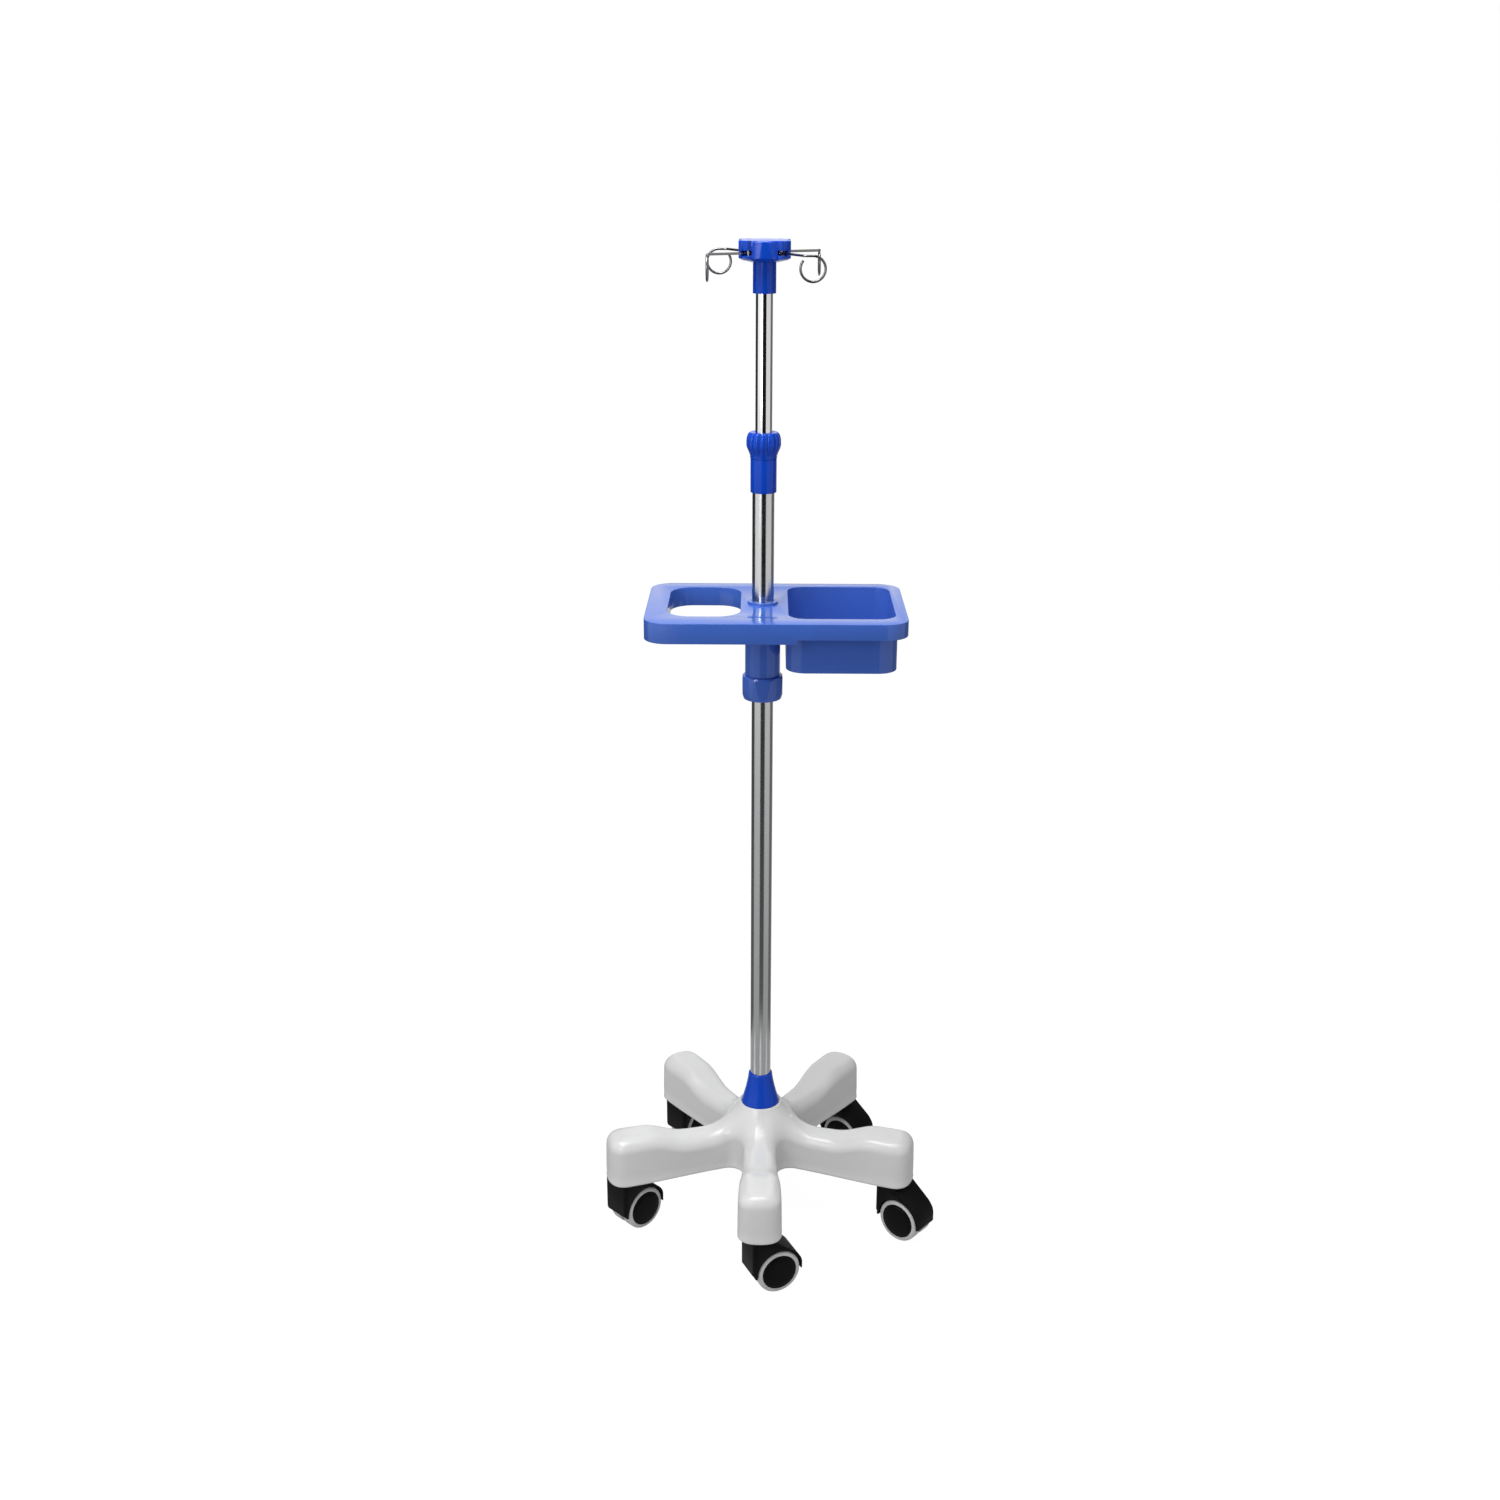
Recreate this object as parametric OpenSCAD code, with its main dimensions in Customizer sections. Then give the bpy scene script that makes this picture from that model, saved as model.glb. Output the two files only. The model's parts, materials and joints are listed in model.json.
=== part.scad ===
// IV drip stand: a five-legged rolling base, a telescopic pole with a twist lock, a sliding
// tray with a bottle hole and a basket, and a head with four ring hooks.
// Millimetres, +Z up. The origin is on the floor, on the pole's axis, and one leg points to -Y.
// It is drawn part-way up: the mast stands mast_out above its lowest place.

/* [Casters] */
// Radius of a caster wheel
wheel_r = 27; // [23:0.5:29]
// Width of one wheel of a pair
wheel_w = 14; // [10:0.5:16]
// Height of the tyre around the wheel's side cap
tyre_h = 5.5; // [3:0.5:8]
// Thickness of the hood's web between the two wheels
web_w = 7; // [5:0.5:10]
// Side play of a wheel beside the web
wheel_gap = 0.4; // [0.3:0.1:1]
// Distance from the swivel axis to the axle
trail = 18; // [16:0.5:20]
// Distance from the swivel axis to the hood's nose
hood_nose = 16; // [16:0.5:24]
// Wall of the hood over the wheels
hood_wall = 2.6; // [1.6:0.1:4]
// Clearance between a wheel and the hood
hood_gap = 1.3; // [0.8:0.1:2]
// Radius of a caster's axle
axle_r = 3; // [2:0.25:4]
// Radius of a caster's swivel stem
stem_r = 5.5; // [4:0.25:6.5]
// Length of the stem above the leg's rim
stem_h = 39; // [30:1:48]

/* [Base] */
// Distance from the pole's axis to the end of a leg
leg_reach = 197; // [180:1:240]
// Height of the base's rim above the casters' axles
rim_rise = 46; // [44:0.5:70]
// Distance from a leg's end in to its caster's stem
stem_inset = 21; // [18:0.5:24]
// Width of a leg near its end
leg_end_w = 51; // [46:1:60]
// Width of a leg near the hub
leg_waist_w = 40; // [34:1:46]
// Height of a leg's end above its rim
leg_end_h = 60; // [56:1:76]
// Height of a leg's lowest part above its rim
leg_dip_h = 47; // [40:1:52]
// Height of the hub's top above the rim
hub_h = 76; // [70:1:90]
// Radius that rounds the top edge of the legs
edge_r = 16; // [8:1:18]
// Radius of the web between two legs
web_r = 18; // [12:1:24]
// Wall of the moulded base
base_wall = 3; // [2:0.5:5]
// Clearance between a caster's hood and the leg's rim
rim_gap = 0.6; // [0.4:0.1:2]

/* [Pole] */
// Outer radius of the lower tube
pole_r = 12.5; // [11.5:0.5:14]
// Outer radius of the telescopic mast tube
mast_r = 9.5; // [8:0.5:10]
// Wall of both tubes
tube_wall = 1.2; // [0.8:0.1:1.5]
// Overall height with the mast fully down
low_height = 1100; // [1090:5:1300]
// Height of the mast above its lowest place, as drawn
mast_out = 87.5; // [0:0.5:300]
// Radius at the foot of the cone that covers the base's hub
cone_foot_r = 23.2; // [20:0.2:24]
// Radius at the top of that cone
cone_top_r = 14.6; // [14.5:0.1:18]
// Height of that cone
cone_h = 41.5; // [25:0.5:60]

/* [Lock] */
// Height of the lock's lower end above the floor
lock_z = 918; // [850:1:940]
// Radius of the lock's plain sleeve
sleeve_r = 14.65; // [14.5:0.05:16.5]
// Height of that sleeve
sleeve_h = 37.5; // [20:0.5:50]
// Widest radius of the fluted knob
knob_r = 19.2; // [18.5:0.1:24]
// Height of the knob
knob_h = 28.5; // [28:0.5:45]
// Number of flutes on the knob
flutes = 12; // [8:1:16]

/* [Head] */
// Radius of the head's neck
neck_r = 12.6; // [12.5:0.1:16]
// Height of the neck
neck_h = 32; // [20:0.5:50]
// Radius of the head's round core
core_r = 28; // [24:0.5:31]
// Distance from the axis to a lug's end
lug_reach = 33; // [31:0.5:45]
// Width of a lug
lug_w = 14; // [10:0.5:18]
// Height of the head above its neck
head_h = 23; // [20:0.5:35]
// Height of the slot in each lug
slot_h = 4.6; // [4:0.1:6]
// Radius of the pins that hold the hooks
pin_r = 2; // [1.5:0.1:2.5]

/* [Hooks] */
// Radius of the hook wire
wire_r = 1.4; // [1:0.1:1.7]
// Radius of a hook's ring, to the middle of the wire
ring_r = 13; // [9:0.2:18]
// Distance from the axis to the middle of a ring
ring_reach = 78; // [65:0.5:120]

/* [Tray] */
// Height of the tray's top above the floor, as drawn
tray_z = 791; // [500:1:830]
// Distance from the pole to the tray's left end
tray_left = 131; // [125:0.5:180]
// Distance from the pole to the tray's right end
tray_right = 160.5; // [158:0.5:200]
// Depth of the tray from front to back
tray_d = 188; // [140:1:220]
// Radius of the tray's corners
tray_corner = 26; // [6:1:34]
// Height of the tray's skirt
skirt_h = 23; // [15:1:40]
// Wall of the tray
tray_wall = 2.5; // [1.5:0.1:4]
// Width of the bottle hole
hole_w = 82; // [50:1:86]
// Depth of the bottle hole
hole_d = 134; // [60:1:140]
// Width of the basket, outside
bin_w = 124; // [80:1:125]
// Depth of the basket, outside
bin_d = 152; // [80:1:160]
// Height of the basket below the tray's top
bin_h = 62; // [45:1:120]
// Radius of the boss under the tray
boss_r = 20.2; // [19.4:0.2:23]
// Distance from the tray's top down to the clamp nut
nut_drop = 84.5; // [60:0.5:120]
// Radius of the clamp nut over its corners
nut_r = 25; // [24:0.2:30]
// Height of the clamp nut
nut_h = 27.5; // [18:0.5:40]

/* [Hidden] */
$fn = 64;
LEGS = 5;
HOOKS = 4;
HOOK_PHASE = 45;
// How each caster happens to be turned, from the front leg round to the left
CASTER_TURN = [25, -40, -38, 45, 45];
FIT = 0.05;    // radial clearance of a running fit
SNUG = 0.1;    // radial clearance of a tube that slides in a guide
CLEAR = 0.3;   // clearance between pieces that pass each other

// Casters
hub_cap_r = wheel_r - tyre_h;
cap_dome = 2.8;
well_r = wheel_r + hood_gap;
hood_r = well_r + hood_wall;
wheel_in = web_w / 2 + wheel_gap;
wheel_out = wheel_in + wheel_w;
hood_w = 2 * wheel_out + 0.8;
rim_z = wheel_r + rim_rise;
hood_top_z = rim_z - rim_gap;
nose_foot_z = wheel_r + 3;
stem_at = leg_reach - stem_inset;
stem_foot_z = wheel_r + well_r + 0.4;
stem_top_z = rim_z + stem_h;
socket_r = stem_r + 4.5;

// Base
hub_z = rim_z + hub_h;
end_z = rim_z + leg_end_h;
dip_z = rim_z + leg_dip_h;
bead_h = 1.8;
seat_r = cone_foot_r + 0.4;
bead_r = seat_r + 3.4;
hub_skirt = 48;
pole_hole_r = pole_r + 0.25;
hub_ceiling_z = hub_z - base_wall - 1;
end_ceiling_z = end_z - base_wall - 2;
// The ceiling's edges curve down past the sockets, so their tops stay under them
socket_top_z = end_ceiling_z - 2 * CLEAR;

// Pole and mast
pole_in = pole_r - tube_wall;
mast_in = mast_r - tube_wall;
bolt_head_h = 5.5;
washer_t = 2.5;
cup_floor = 6;
cup_z = rim_z - 33;
pole_foot_z = cup_z + cup_floor;
plug_h = 14;
plug_top_z = pole_foot_z + plug_h;
guide_flange = 8;
guide_foot_z = plug_top_z + 2 + mast_out;
mast_foot_z = guide_foot_z + guide_flange + 0.2;
top_z = low_height + mast_out;
head_z = top_z - head_h;
neck_z = head_z - neck_h;
mast_top_z = head_z - 1;

// Lock
knob_z = lock_z + sleeve_h + 0.4;
knob_top_z = knob_z + knob_h;
thread_r = sleeve_r - 0.9;
thread_h = 11.5;
thread_top_z = knob_z + thread_h;
pole_top_z = thread_top_z - 1.5;
collet_wall = 3.4;
knob_roof = 3.2;

// Head
slot_z = head_z + 8.4;
slot_w = lug_w + 1;
pin_at = lug_reach - 9;
pin_foot_z = slot_z - 4;
pin_top_z = top_z - 3;
screw_z = neck_z + 14;
screw_r = 2;
screw_head_r = 3.6;
// The screw's head sits in a flat milled into the round neck
screw_seat = neck_r - 0.6;

// Hooks
wire_z = slot_z + wire_r + 0.3;
eye_r = pin_r + wire_r + 0.25;
ring_z = wire_z - ring_r;
WIRE_SIDES = 8;
RING_TURN = 45;    // a ring's plane is turned this far from its lug's direction
RING_LEAD = -5;    // and its middle stands this far round from the lug
RING_SWEEP = 310;

// Tray
tray_mid_x = (tray_right - tray_left) / 2;
tray_w = tray_right + tray_left;
skirt_z = tray_z - skirt_h;
bin_skirt_z = skirt_z + 5;
hole_mid = [-tray_left + 24 + hole_w / 2, 6];
hole_corner = 27;
bin_mid = [tray_right - 10.5 - bin_w / 2, 4];
bin_corner = 22;
bin_z = tray_z - bin_h;
ring_top_r = 17.5;
ring_top_h = 3.2;
nut_z = tray_z - nut_drop - nut_h;
nut_top_z = tray_z - nut_drop;
nut_floor = 4;
tray_thread_r = boss_r - 2;
grip_r = pole_r + 3.5;
grip_z = nut_z + nut_floor + 0.3;
grip_h = 66;

BLUE = "#1f46b4";
TRAY_BLUE = "#5878c8";
WHITE = "#ececec";
STEEL = "#c4c6c9";
BLACK = "#1c1c1d";
GREY = "#cfd0d0";

// ---- shared shapes ----

// A rectangle with round corners, centred
module round_rect(w, d, r) {
    square([w - 2 * r, d], center = true);
    square([w, d - 2 * r], center = true);
    for (x = [-1, 1], y = [-1, 1]) translate([x * (w / 2 - r), y * (d / 2 - r)]) circle(r);
}

module tube(r_out, r_in, h) {
    difference() {
        cylinder(r = r_out, h = h);
        translate([0, 0, -1]) cylinder(r = r_in, h = h + 2);
    }
}

// ---- base shell: one moulding, built as rings of points that run over and back under ----

function smooth(t) = let (u = min(1, max(0, t))) u * u * (3 - 2 * u);

half_leg = 180 / LEGS;
web_c = (leg_waist_w / 2 + web_r) / sin(half_leg) * [cos(half_leg), sin(half_leg)];
cap_x = leg_reach - stem_inset - 1;
cap_a = leg_reach - cap_x;
cap_b = leg_end_w / 2;
CAP_POWER = 2.5;

// Half the width of a leg at x along it
function half_width(x) =
    leg_waist_w / 2 + (leg_end_w - leg_waist_w) / 2 * smooth((x - web_c.x) / (cap_x - web_c.x));

// How far a point of a leg's upper half lies inside the outline
function inside(p) =
    p.x < web_c.x ? norm(p - web_c) - web_r
    : p.x < cap_x ? half_width(p.x) - p.y
    : cap_b * (1 - pow(pow((p.x - cap_x) / cap_a, CAP_POWER) + pow(p.y / cap_b, CAP_POWER), 1 / CAP_POWER));

// Height of the outside along a leg's ridge, and of the rounded edge below it
function ridge_z(r) =
    dip_z + (hub_z - dip_z) * pow(max(0, 1 - max(0, r - bead_r) / hub_skirt), 2.2)
    + (end_z - dip_z) * smooth((r - 0.5 * leg_reach) / (0.26 * leg_reach));
function edge_drop(e, r) = e >= r ? 0 : r - sqrt(r * r - pow(r - max(0, e), 2));
function outer_z(p) = ridge_z(norm(p)) - edge_drop(inside(p), edge_r);
function inner_z(p) =
    let (z = ridge_z(norm(p)) - base_wall - edge_drop(inside(p) - base_wall, edge_r - base_wall))
    norm(p) < 2 * bead_r ? min(z, hub_ceiling_z) : min(z, end_ceiling_z);

WEB_STEPS = 3;
SIDE_STEPS = 5;
CAP_STEPS = 4;
// The upper half of a leg's outline, from the web's middle to the tip, as [point, inward normal]
half_outline = concat(
    [for (k = [0 : WEB_STEPS - 1])
        let (a = 180 + half_leg + (90 - half_leg) * k / WEB_STEPS, u = [cos(a), sin(a)])
        [web_c + web_r * u, u]],
    [for (k = [0 : SIDE_STEPS - 1])
        let (x = web_c.x + (cap_x - web_c.x) * k / SIDE_STEPS) [[x, half_width(x)], [0, -1]]],
    [for (k = [0 : CAP_STEPS])
        let (t = 90 * (1 - k / CAP_STEPS), c = pow(cos(t), 2 / CAP_POWER), s = pow(sin(t), 2 / CAP_POWER),
             n = [c / cap_a, s / cap_b])
        [[cap_x + cap_a * c, cap_b * s], -n / norm(n)]]
);
half_n = len(half_outline);

// One column per outline point: [leg, +1 or -1 for the half, point, inward normal]
columns = [for (leg = [0 : LEGS - 1], k = [0 : 2 * half_n - 3])
    let (low = k < half_n, j = low ? k : 2 * half_n - 2 - k)
    [leg, low ? -1 : 1, half_outline[j][0], half_outline[j][1]]];

function to_plan(c, p, z) =
    let (a = c[0] * 360 / LEGS - 90, y = c[1] * p.y)
    [p.x * cos(a) - y * sin(a), p.x * sin(a) + y * cos(a), z];
function on_circle(p, r) = p / norm(p) * r;

TOP_RINGS = 9;
UNDER_RINGS = 6;
function shell_rings(c) =
    let (out = c[2], low = out + base_wall * c[3],
         hub = on_circle(out, bead_r), under = on_circle(low, bead_r))
    concat(
        [[on_circle(out, pole_hole_r), hub_z], [on_circle(out, seat_r), hub_z],
         [on_circle(out, seat_r + 0.6), hub_z + bead_h], [on_circle(out, bead_r - 1.2), hub_z + bead_h]],
        [for (k = [0 : TOP_RINGS])
            let (g = 1 - pow(1 - k / TOP_RINGS, 2), p = hub + (out - hub) * g) [p, outer_z(p)]],
        [[out - 0.8 * c[3], rim_z], [low, rim_z]],
        [for (k = [0 : UNDER_RINGS])
            let (g = pow(k / UNDER_RINGS, 2), p = low + (under - low) * g) [p, inner_z(p)]],
        [[on_circle(out, pole_hole_r), hub_ceiling_z]]
    );

module base_shell() {
    rings = [for (c = columns) [for (q = shell_rings(c)) to_plan(c, q[0], q[1])]];
    n = len(rings);
    m = len(rings[0]);
    points = [for (column = rings) each column];
    faces = [for (i = [0 : n - 1], j = [0 : m - 1])
        let (next = (i + 1) % n, a = i * m + j, b = i * m + (j + 1) % m,
             c = next * m + (j + 1) % m, d = next * m + j)
        each [[a, b, c], [a, c, d]]];
    color(WHITE) polyhedron(points, faces);
}

module each_leg() {
    for (i = [0 : LEGS - 1]) rotate(360 / LEGS * i - 90) translate([stem_at, 0, 0]) children();
}

module stem_sockets() {
    color(WHITE) each_leg() translate([0, 0, rim_z + 1.5])
        tube(socket_r, stem_r + FIT, socket_top_z - rim_z - 1.5);
}

module caster_stems() {
    color(STEEL) each_leg() translate([0, 0, stem_foot_z]) cylinder(r = stem_r, h = stem_top_z - stem_foot_z);
}

module pole_socket() {
    color(STEEL) difference() {
        translate([0, 0, cup_z]) cylinder(r = pole_r + 4.5, h = hub_ceiling_z - cup_z);
        translate([0, 0, pole_foot_z]) cylinder(r = pole_r + FIT, h = hub_z);
        translate([0, 0, cup_z - 1]) cylinder(r = 4.3, h = cup_floor + 2);
    }
}

module base_washer() {
    color(STEEL) translate([0, 0, cup_z - washer_t]) tube(14, 4.3, washer_t);
}

module base_bolt() {
    color(STEEL) translate([0, 0, cup_z - washer_t]) {
        cylinder(r = 4, h = washer_t + cup_floor + plug_h - 3);
        translate([0, 0, -bolt_head_h]) cylinder(r = 7.5, h = bolt_head_h, $fn = 6);
    }
}

module tube_plug() {
    color(STEEL) translate([0, 0, pole_foot_z]) difference() {
        cylinder(r = pole_in, h = plug_h);
        translate([0, 0, -1]) cylinder(r = 4 + FIT, h = plug_h - 1);
    }
}

// ---- pole, cone and lock ----

module outer_tube() {
    color(STEEL) translate([0, 0, pole_foot_z]) tube(pole_r, pole_in, pole_top_z - pole_foot_z);
}

module base_cone() {
    color(BLUE) translate([0, 0, hub_z]) rotate_extrude() polygon([
        [pole_r + SNUG, 0], [cone_foot_r, 0], [cone_foot_r, 2],
        for (k = [0 : 8]) let (t = k / 8)
            [cone_top_r + (cone_foot_r - cone_top_r) * pow(1 - t, 1.35), 2 + (cone_h - 3.2) * t],
        [cone_top_r - 0.9, cone_h], [pole_r + SNUG, cone_h]
    ]);
}

module lock_sleeve() {
    color(BLUE) difference() {
        translate([0, 0, lock_z]) rotate_extrude() polygon([
            [0, 0], [sleeve_r - 0.8, 0], [sleeve_r, 0.8], [sleeve_r, sleeve_h],
            [thread_r, sleeve_h], [thread_r, thread_top_z - lock_z], [0, thread_top_z - lock_z]
        ]);
        translate([0, 0, lock_z - 1]) cylinder(r = pole_r + FIT, h = pole_top_z - lock_z + 1);
        translate([0, 0, lock_z]) cylinder(r = pole_in, h = thread_top_z);
    }
}

module lock_collet() {
    z = thread_top_z + CLEAR;
    h = knob_top_z - knob_roof - CLEAR - z;
    color("#dedede") translate([0, 0, z]) difference() {
        tube(mast_r + SNUG + collet_wall, mast_r + SNUG, h);
        translate([0, -0.8, 1.5]) cube([mast_r + 10, 1.6, h]);
    }
}

// The knob swells to knob_r, with flutes that run out towards its foot
module lock_knob() {
    cavity_h = knob_h - knob_roof;
    color(BLUE) translate([0, 0, knob_z]) difference() {
        rotate_extrude() polygon([
            [0, 0], [sleeve_r + 0.3, 0],
            for (k = [0 : 10]) let (t = k / 10)
                [sleeve_r + 0.3 + (knob_r - sleeve_r - 0.3) * smooth(t), 1 + 0.5 * knob_h * t],
            for (k = [1 : 6]) let (a = 15 * k)
                [knob_r - 3.4 * (1 - cos(a)), 0.62 * knob_h + 0.38 * knob_h * sin(a)],
            [0, knob_h]
        ]);
        for (i = [0 : flutes - 1]) rotate(360 / flutes * (i + 0.5))
            translate([knob_r + 1.7, 0, 0.42 * knob_h]) rotate([0, -3, 0]) cylinder(r = 2.6, h = knob_h);
        translate([0, 0, -1]) cylinder(r = thread_r + CLEAR, h = thread_h + 1.5);
        cylinder(r = mast_r + SNUG + collet_wall + CLEAR, h = cavity_h);
        cylinder(r = mast_r + CLEAR, h = knob_h + 1);
    }
}

// ---- mast and head ----

module mast_guide() {
    color("#dedede") translate([0, 0, guide_foot_z]) {
        cylinder(r = pole_in - 0.2, h = guide_flange);
        cylinder(r = mast_in - FIT, h = guide_flange + 15);
    }
}

module inner_tube() {
    color(STEEL) difference() {
        translate([0, 0, mast_foot_z]) tube(mast_r, mast_in, mast_top_z - mast_foot_z);
        screw_hole();
    }
}

module screw_hole() {
    translate([0, 0, screw_z]) rotate([-90, 0, 0]) {
        cylinder(r = screw_r + FIT, h = neck_r + 1);
        translate([0, 0, screw_seat]) cylinder(r = screw_head_r + CLEAR, h = neck_r);
    }
}

module each_lug() {
    for (i = [0 : HOOKS - 1]) rotate(360 / HOOKS * i + HOOK_PHASE) children();
}

// A lug's side view: the lower jaw slopes up from the neck, and the slot widens outwards
module lug() {
    translate([0, lug_w / 2, head_z]) rotate([90, 0, 0]) linear_extrude(lug_w) polygon([
        [0, 0], [neck_r, 0], [lug_reach - 6, 3], [lug_reach, 5.5], [lug_reach, head_h - 1.5],
        [lug_reach - 1.5, head_h], [0, head_h]
    ]);
}

// The slot that a hook swings in, open at the end and on both sides of its lug
module hook_slot() {
    translate([0, slot_w / 2, slot_z]) rotate([90, 0, 0]) linear_extrude(slot_w) polygon([
        [pin_at - 6.5, 0], [pin_at + 2, 0], [lug_reach + 1, -1.4], [lug_reach + 1, slot_h],
        [pin_at - 6.5, slot_h]
    ]);
}

module hook_head() {
    color(BLUE) difference() {
        union() {
            translate([0, 0, neck_z]) cylinder(r = neck_r, h = neck_h + 1);
            translate([0, 0, head_z]) rotate_extrude() polygon([
                [0, 0], [neck_r, 0], [core_r - 8, 1.5], [core_r, 5], [core_r, head_h - 1.5],
                [core_r - 1.5, head_h], [0, head_h]
            ]);
            each_lug() lug();
        }
        translate([0, 0, neck_z - 1]) cylinder(r = mast_r + FIT, h = mast_top_z - neck_z + 1);
        screw_hole();
        each_lug() hook_slot();
        each_lug() translate([pin_at, 0, pin_foot_z]) cylinder(r = pin_r + FIT, h = head_h);
        // Round the corners of the lugs as seen from above
        translate([0, 0, head_z - 1])
            tube(lug_reach + 20, norm([lug_reach - 0.6, lug_w / 2 - 2]), head_h + 2);
    }
}

module hook_pins() {
    color(STEEL) each_lug() translate([pin_at, 0, pin_foot_z])
        cylinder(r = pin_r, h = pin_top_z - pin_foot_z);
}

module head_screw() {
    color(STEEL) translate([0, 0, screw_z]) rotate([-90, 0, 0]) {
        translate([0, 0, mast_in - 2]) cylinder(r = screw_r, h = screw_seat - mast_in + 2);
        translate([0, 0, screw_seat]) difference() {
            cylinder(r = screw_head_r, h = 2.2);
            for (a = [0, 90]) rotate(a) translate([-2, -0.4, 1.2]) cube([4, 0.8, 2]);
        }
    }
}

// ---- hooks: one bent wire each, swept along its middle line ----

// The middle line of a hook whose lug points along +X: an open eye round the pin, the arm,
// and a ring whose plane is turned by RING_TURN
function hook_path() =
    let (top = ring_reach * [cos(RING_LEAD), sin(RING_LEAD)],
         u = [cos(RING_TURN), sin(RING_TURN)],
         bend = top - 9 * u,
         eye_out = [pin_at + eye_r, 0])
    concat(
        [for (k = [0 : 9]) let (a = 70 + 29 * k) [pin_at + eye_r * cos(a), eye_r * sin(a), wire_z]],
        [for (k = [0 : 5])
            let (t = 0.12 + 0.85 * k / 5, p = eye_out * (1 - t) + bend * t) [p.x, p.y, wire_z]],
        [let (p = bend + 2.4 * u) [p.x, p.y, wire_z], let (p = bend + 5.5 * u) [p.x, p.y, wire_z]],
        [for (k = [0 : 18])
            let (a = 90 - RING_SWEEP * k / 18, p = top + ring_r * cos(a) * u)
            [p.x, p.y, ring_z + ring_r * sin(a)]]
    );

function unit(v) = v / norm(v);
// A frame carried along the path without twist: list of [tangent, side]
function carried(path, i, side) =
    let (t = unit(path[min(i + 1, len(path) - 1)] - path[max(i - 1, 0)]),
         s = unit(side - (side * t) * t))
    i == len(path) - 1 ? [[t, s]] : concat([[t, s]], carried(path, i + 1, s));

module wire(path, r) {
    frames = carried(path, 0, [0, 0, 1]);
    n = len(path);
    points = [for (i = [0 : n - 1], k = [0 : WIRE_SIDES - 1])
        let (a = 360 / WIRE_SIDES * k, s = frames[i][1], b = cross(frames[i][0], s))
        path[i] + r * (cos(a) * s + sin(a) * b)];
    faces = concat(
        [[for (k = [0 : WIRE_SIDES - 1]) WIRE_SIDES - 1 - k]],
        [for (i = [0 : n - 2], k = [0 : WIRE_SIDES - 1])
            let (a = i * WIRE_SIDES + k, b = i * WIRE_SIDES + (k + 1) % WIRE_SIDES)
            each [[a, b, b + WIRE_SIDES], [a, b + WIRE_SIDES, a + WIRE_SIDES]]],
        [[for (k = [0 : WIRE_SIDES - 1]) (n - 1) * WIRE_SIDES + k]]
    );
    polyhedron(points, [for (f = faces) [for (k = [len(f) - 1 : -1 : 0]) f[k]]]);
}

module hook(i) {
    color(STEEL) rotate(360 / HOOKS * i + HOOK_PHASE) wire(hook_path(), wire_r);
}

// ---- tray ----

module tray_plan(inset) {
    translate([tray_mid_x, 0]) round_rect(tray_w - 2 * inset, tray_d - 2 * inset, tray_corner - inset);
}

module hole_plan(grow) {
    translate(hole_mid) round_rect(hole_w + 2 * grow, hole_d + 2 * grow, hole_corner + grow);
}

module bin_plan(inset) {
    translate(bin_mid) round_rect(bin_w - 2 * inset, bin_d - 2 * inset, bin_corner - inset);
}

module slab(z0, z1) {
    translate([0, 0, z0]) linear_extrude(z1 - z0) children();
}

module tray() {
    color(TRAY_BLUE) difference() {
        union() {
            slab(tray_z - tray_wall, tray_z) tray_plan(0);
            difference() {
                slab(skirt_z, tray_z - tray_wall) tray_plan(0);
                slab(skirt_z - 1, tray_z) tray_plan(tray_wall);
                // The skirt is shallower along the basket
                translate([bin_mid.x - bin_w / 2 + 12, -tray_d, skirt_z - 1])
                    cube([bin_w + tray_w, 2 * tray_d, bin_skirt_z - skirt_z + 1]);
            }
            slab(skirt_z + 1, tray_z - tray_wall) hole_plan(tray_wall);
            slab(bin_z, tray_z - tray_wall) bin_plan(0);
            translate([0, 0, nut_top_z + 0.5]) cylinder(r = boss_r, h = nut_drop - tray_wall - 0.5);
            translate([0, 0, nut_top_z - 15]) cylinder(r = tray_thread_r, h = 16);
            translate([0, 0, tray_z - 1]) cylinder(r = ring_top_r, h = ring_top_h + 1);
            // A rib ties the boss to the basket
            translate([boss_r - 1, -1.5, tray_z - 36])
                cube([bin_mid.x - bin_w / 2 - boss_r + 2, 3, 34]);
        }
        slab(bin_z + tray_wall, tray_z + 1) bin_plan(tray_wall);
        slab(skirt_z - 1, tray_z + 1) hole_plan(0);
        translate([0, 0, nut_top_z - 20]) cylinder(r = pole_r + CLEAR, h = nut_drop + 40);
        translate([0, 0, nut_top_z - 20])
            cylinder(r = grip_r + CLEAR, h = grip_z + grip_h + 1 - nut_top_z + 20);
    }
}

module tray_collet() {
    color("#dedede") translate([0, 0, grip_z]) difference() {
        tube(grip_r, pole_r + SNUG, grip_h);
        for (a = [0, 90]) rotate(a) translate([-grip_r - 1, -0.8, -1]) cube([2 * grip_r + 2, 1.6, 22]);
    }
}

module tray_nut() {
    color(TRAY_BLUE) translate([0, 0, nut_z]) difference() {
        intersection() {
            rotate(22.5) cylinder(r = nut_r, h = nut_h, $fn = 8);
            rotate_extrude() polygon([
                [0, 0], [nut_r - 3.2, 0], [nut_r - 1.6, 5], [nut_r - 0.4, nut_h - 4.5],
                [nut_r - 0.4, nut_h - 2.2], [nut_r - 2.6, nut_h], [0, nut_h]
            ]);
        }
        translate([0, 0, nut_floor]) cylinder(r = tray_thread_r + CLEAR, h = nut_h);
        translate([0, 0, -1]) cylinder(r = pole_r + CLEAR, h = nut_floor + 2);
    }
}

// ---- casters: twin wheels under a hood, drawn with the swivel axis at the origin ----

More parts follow.
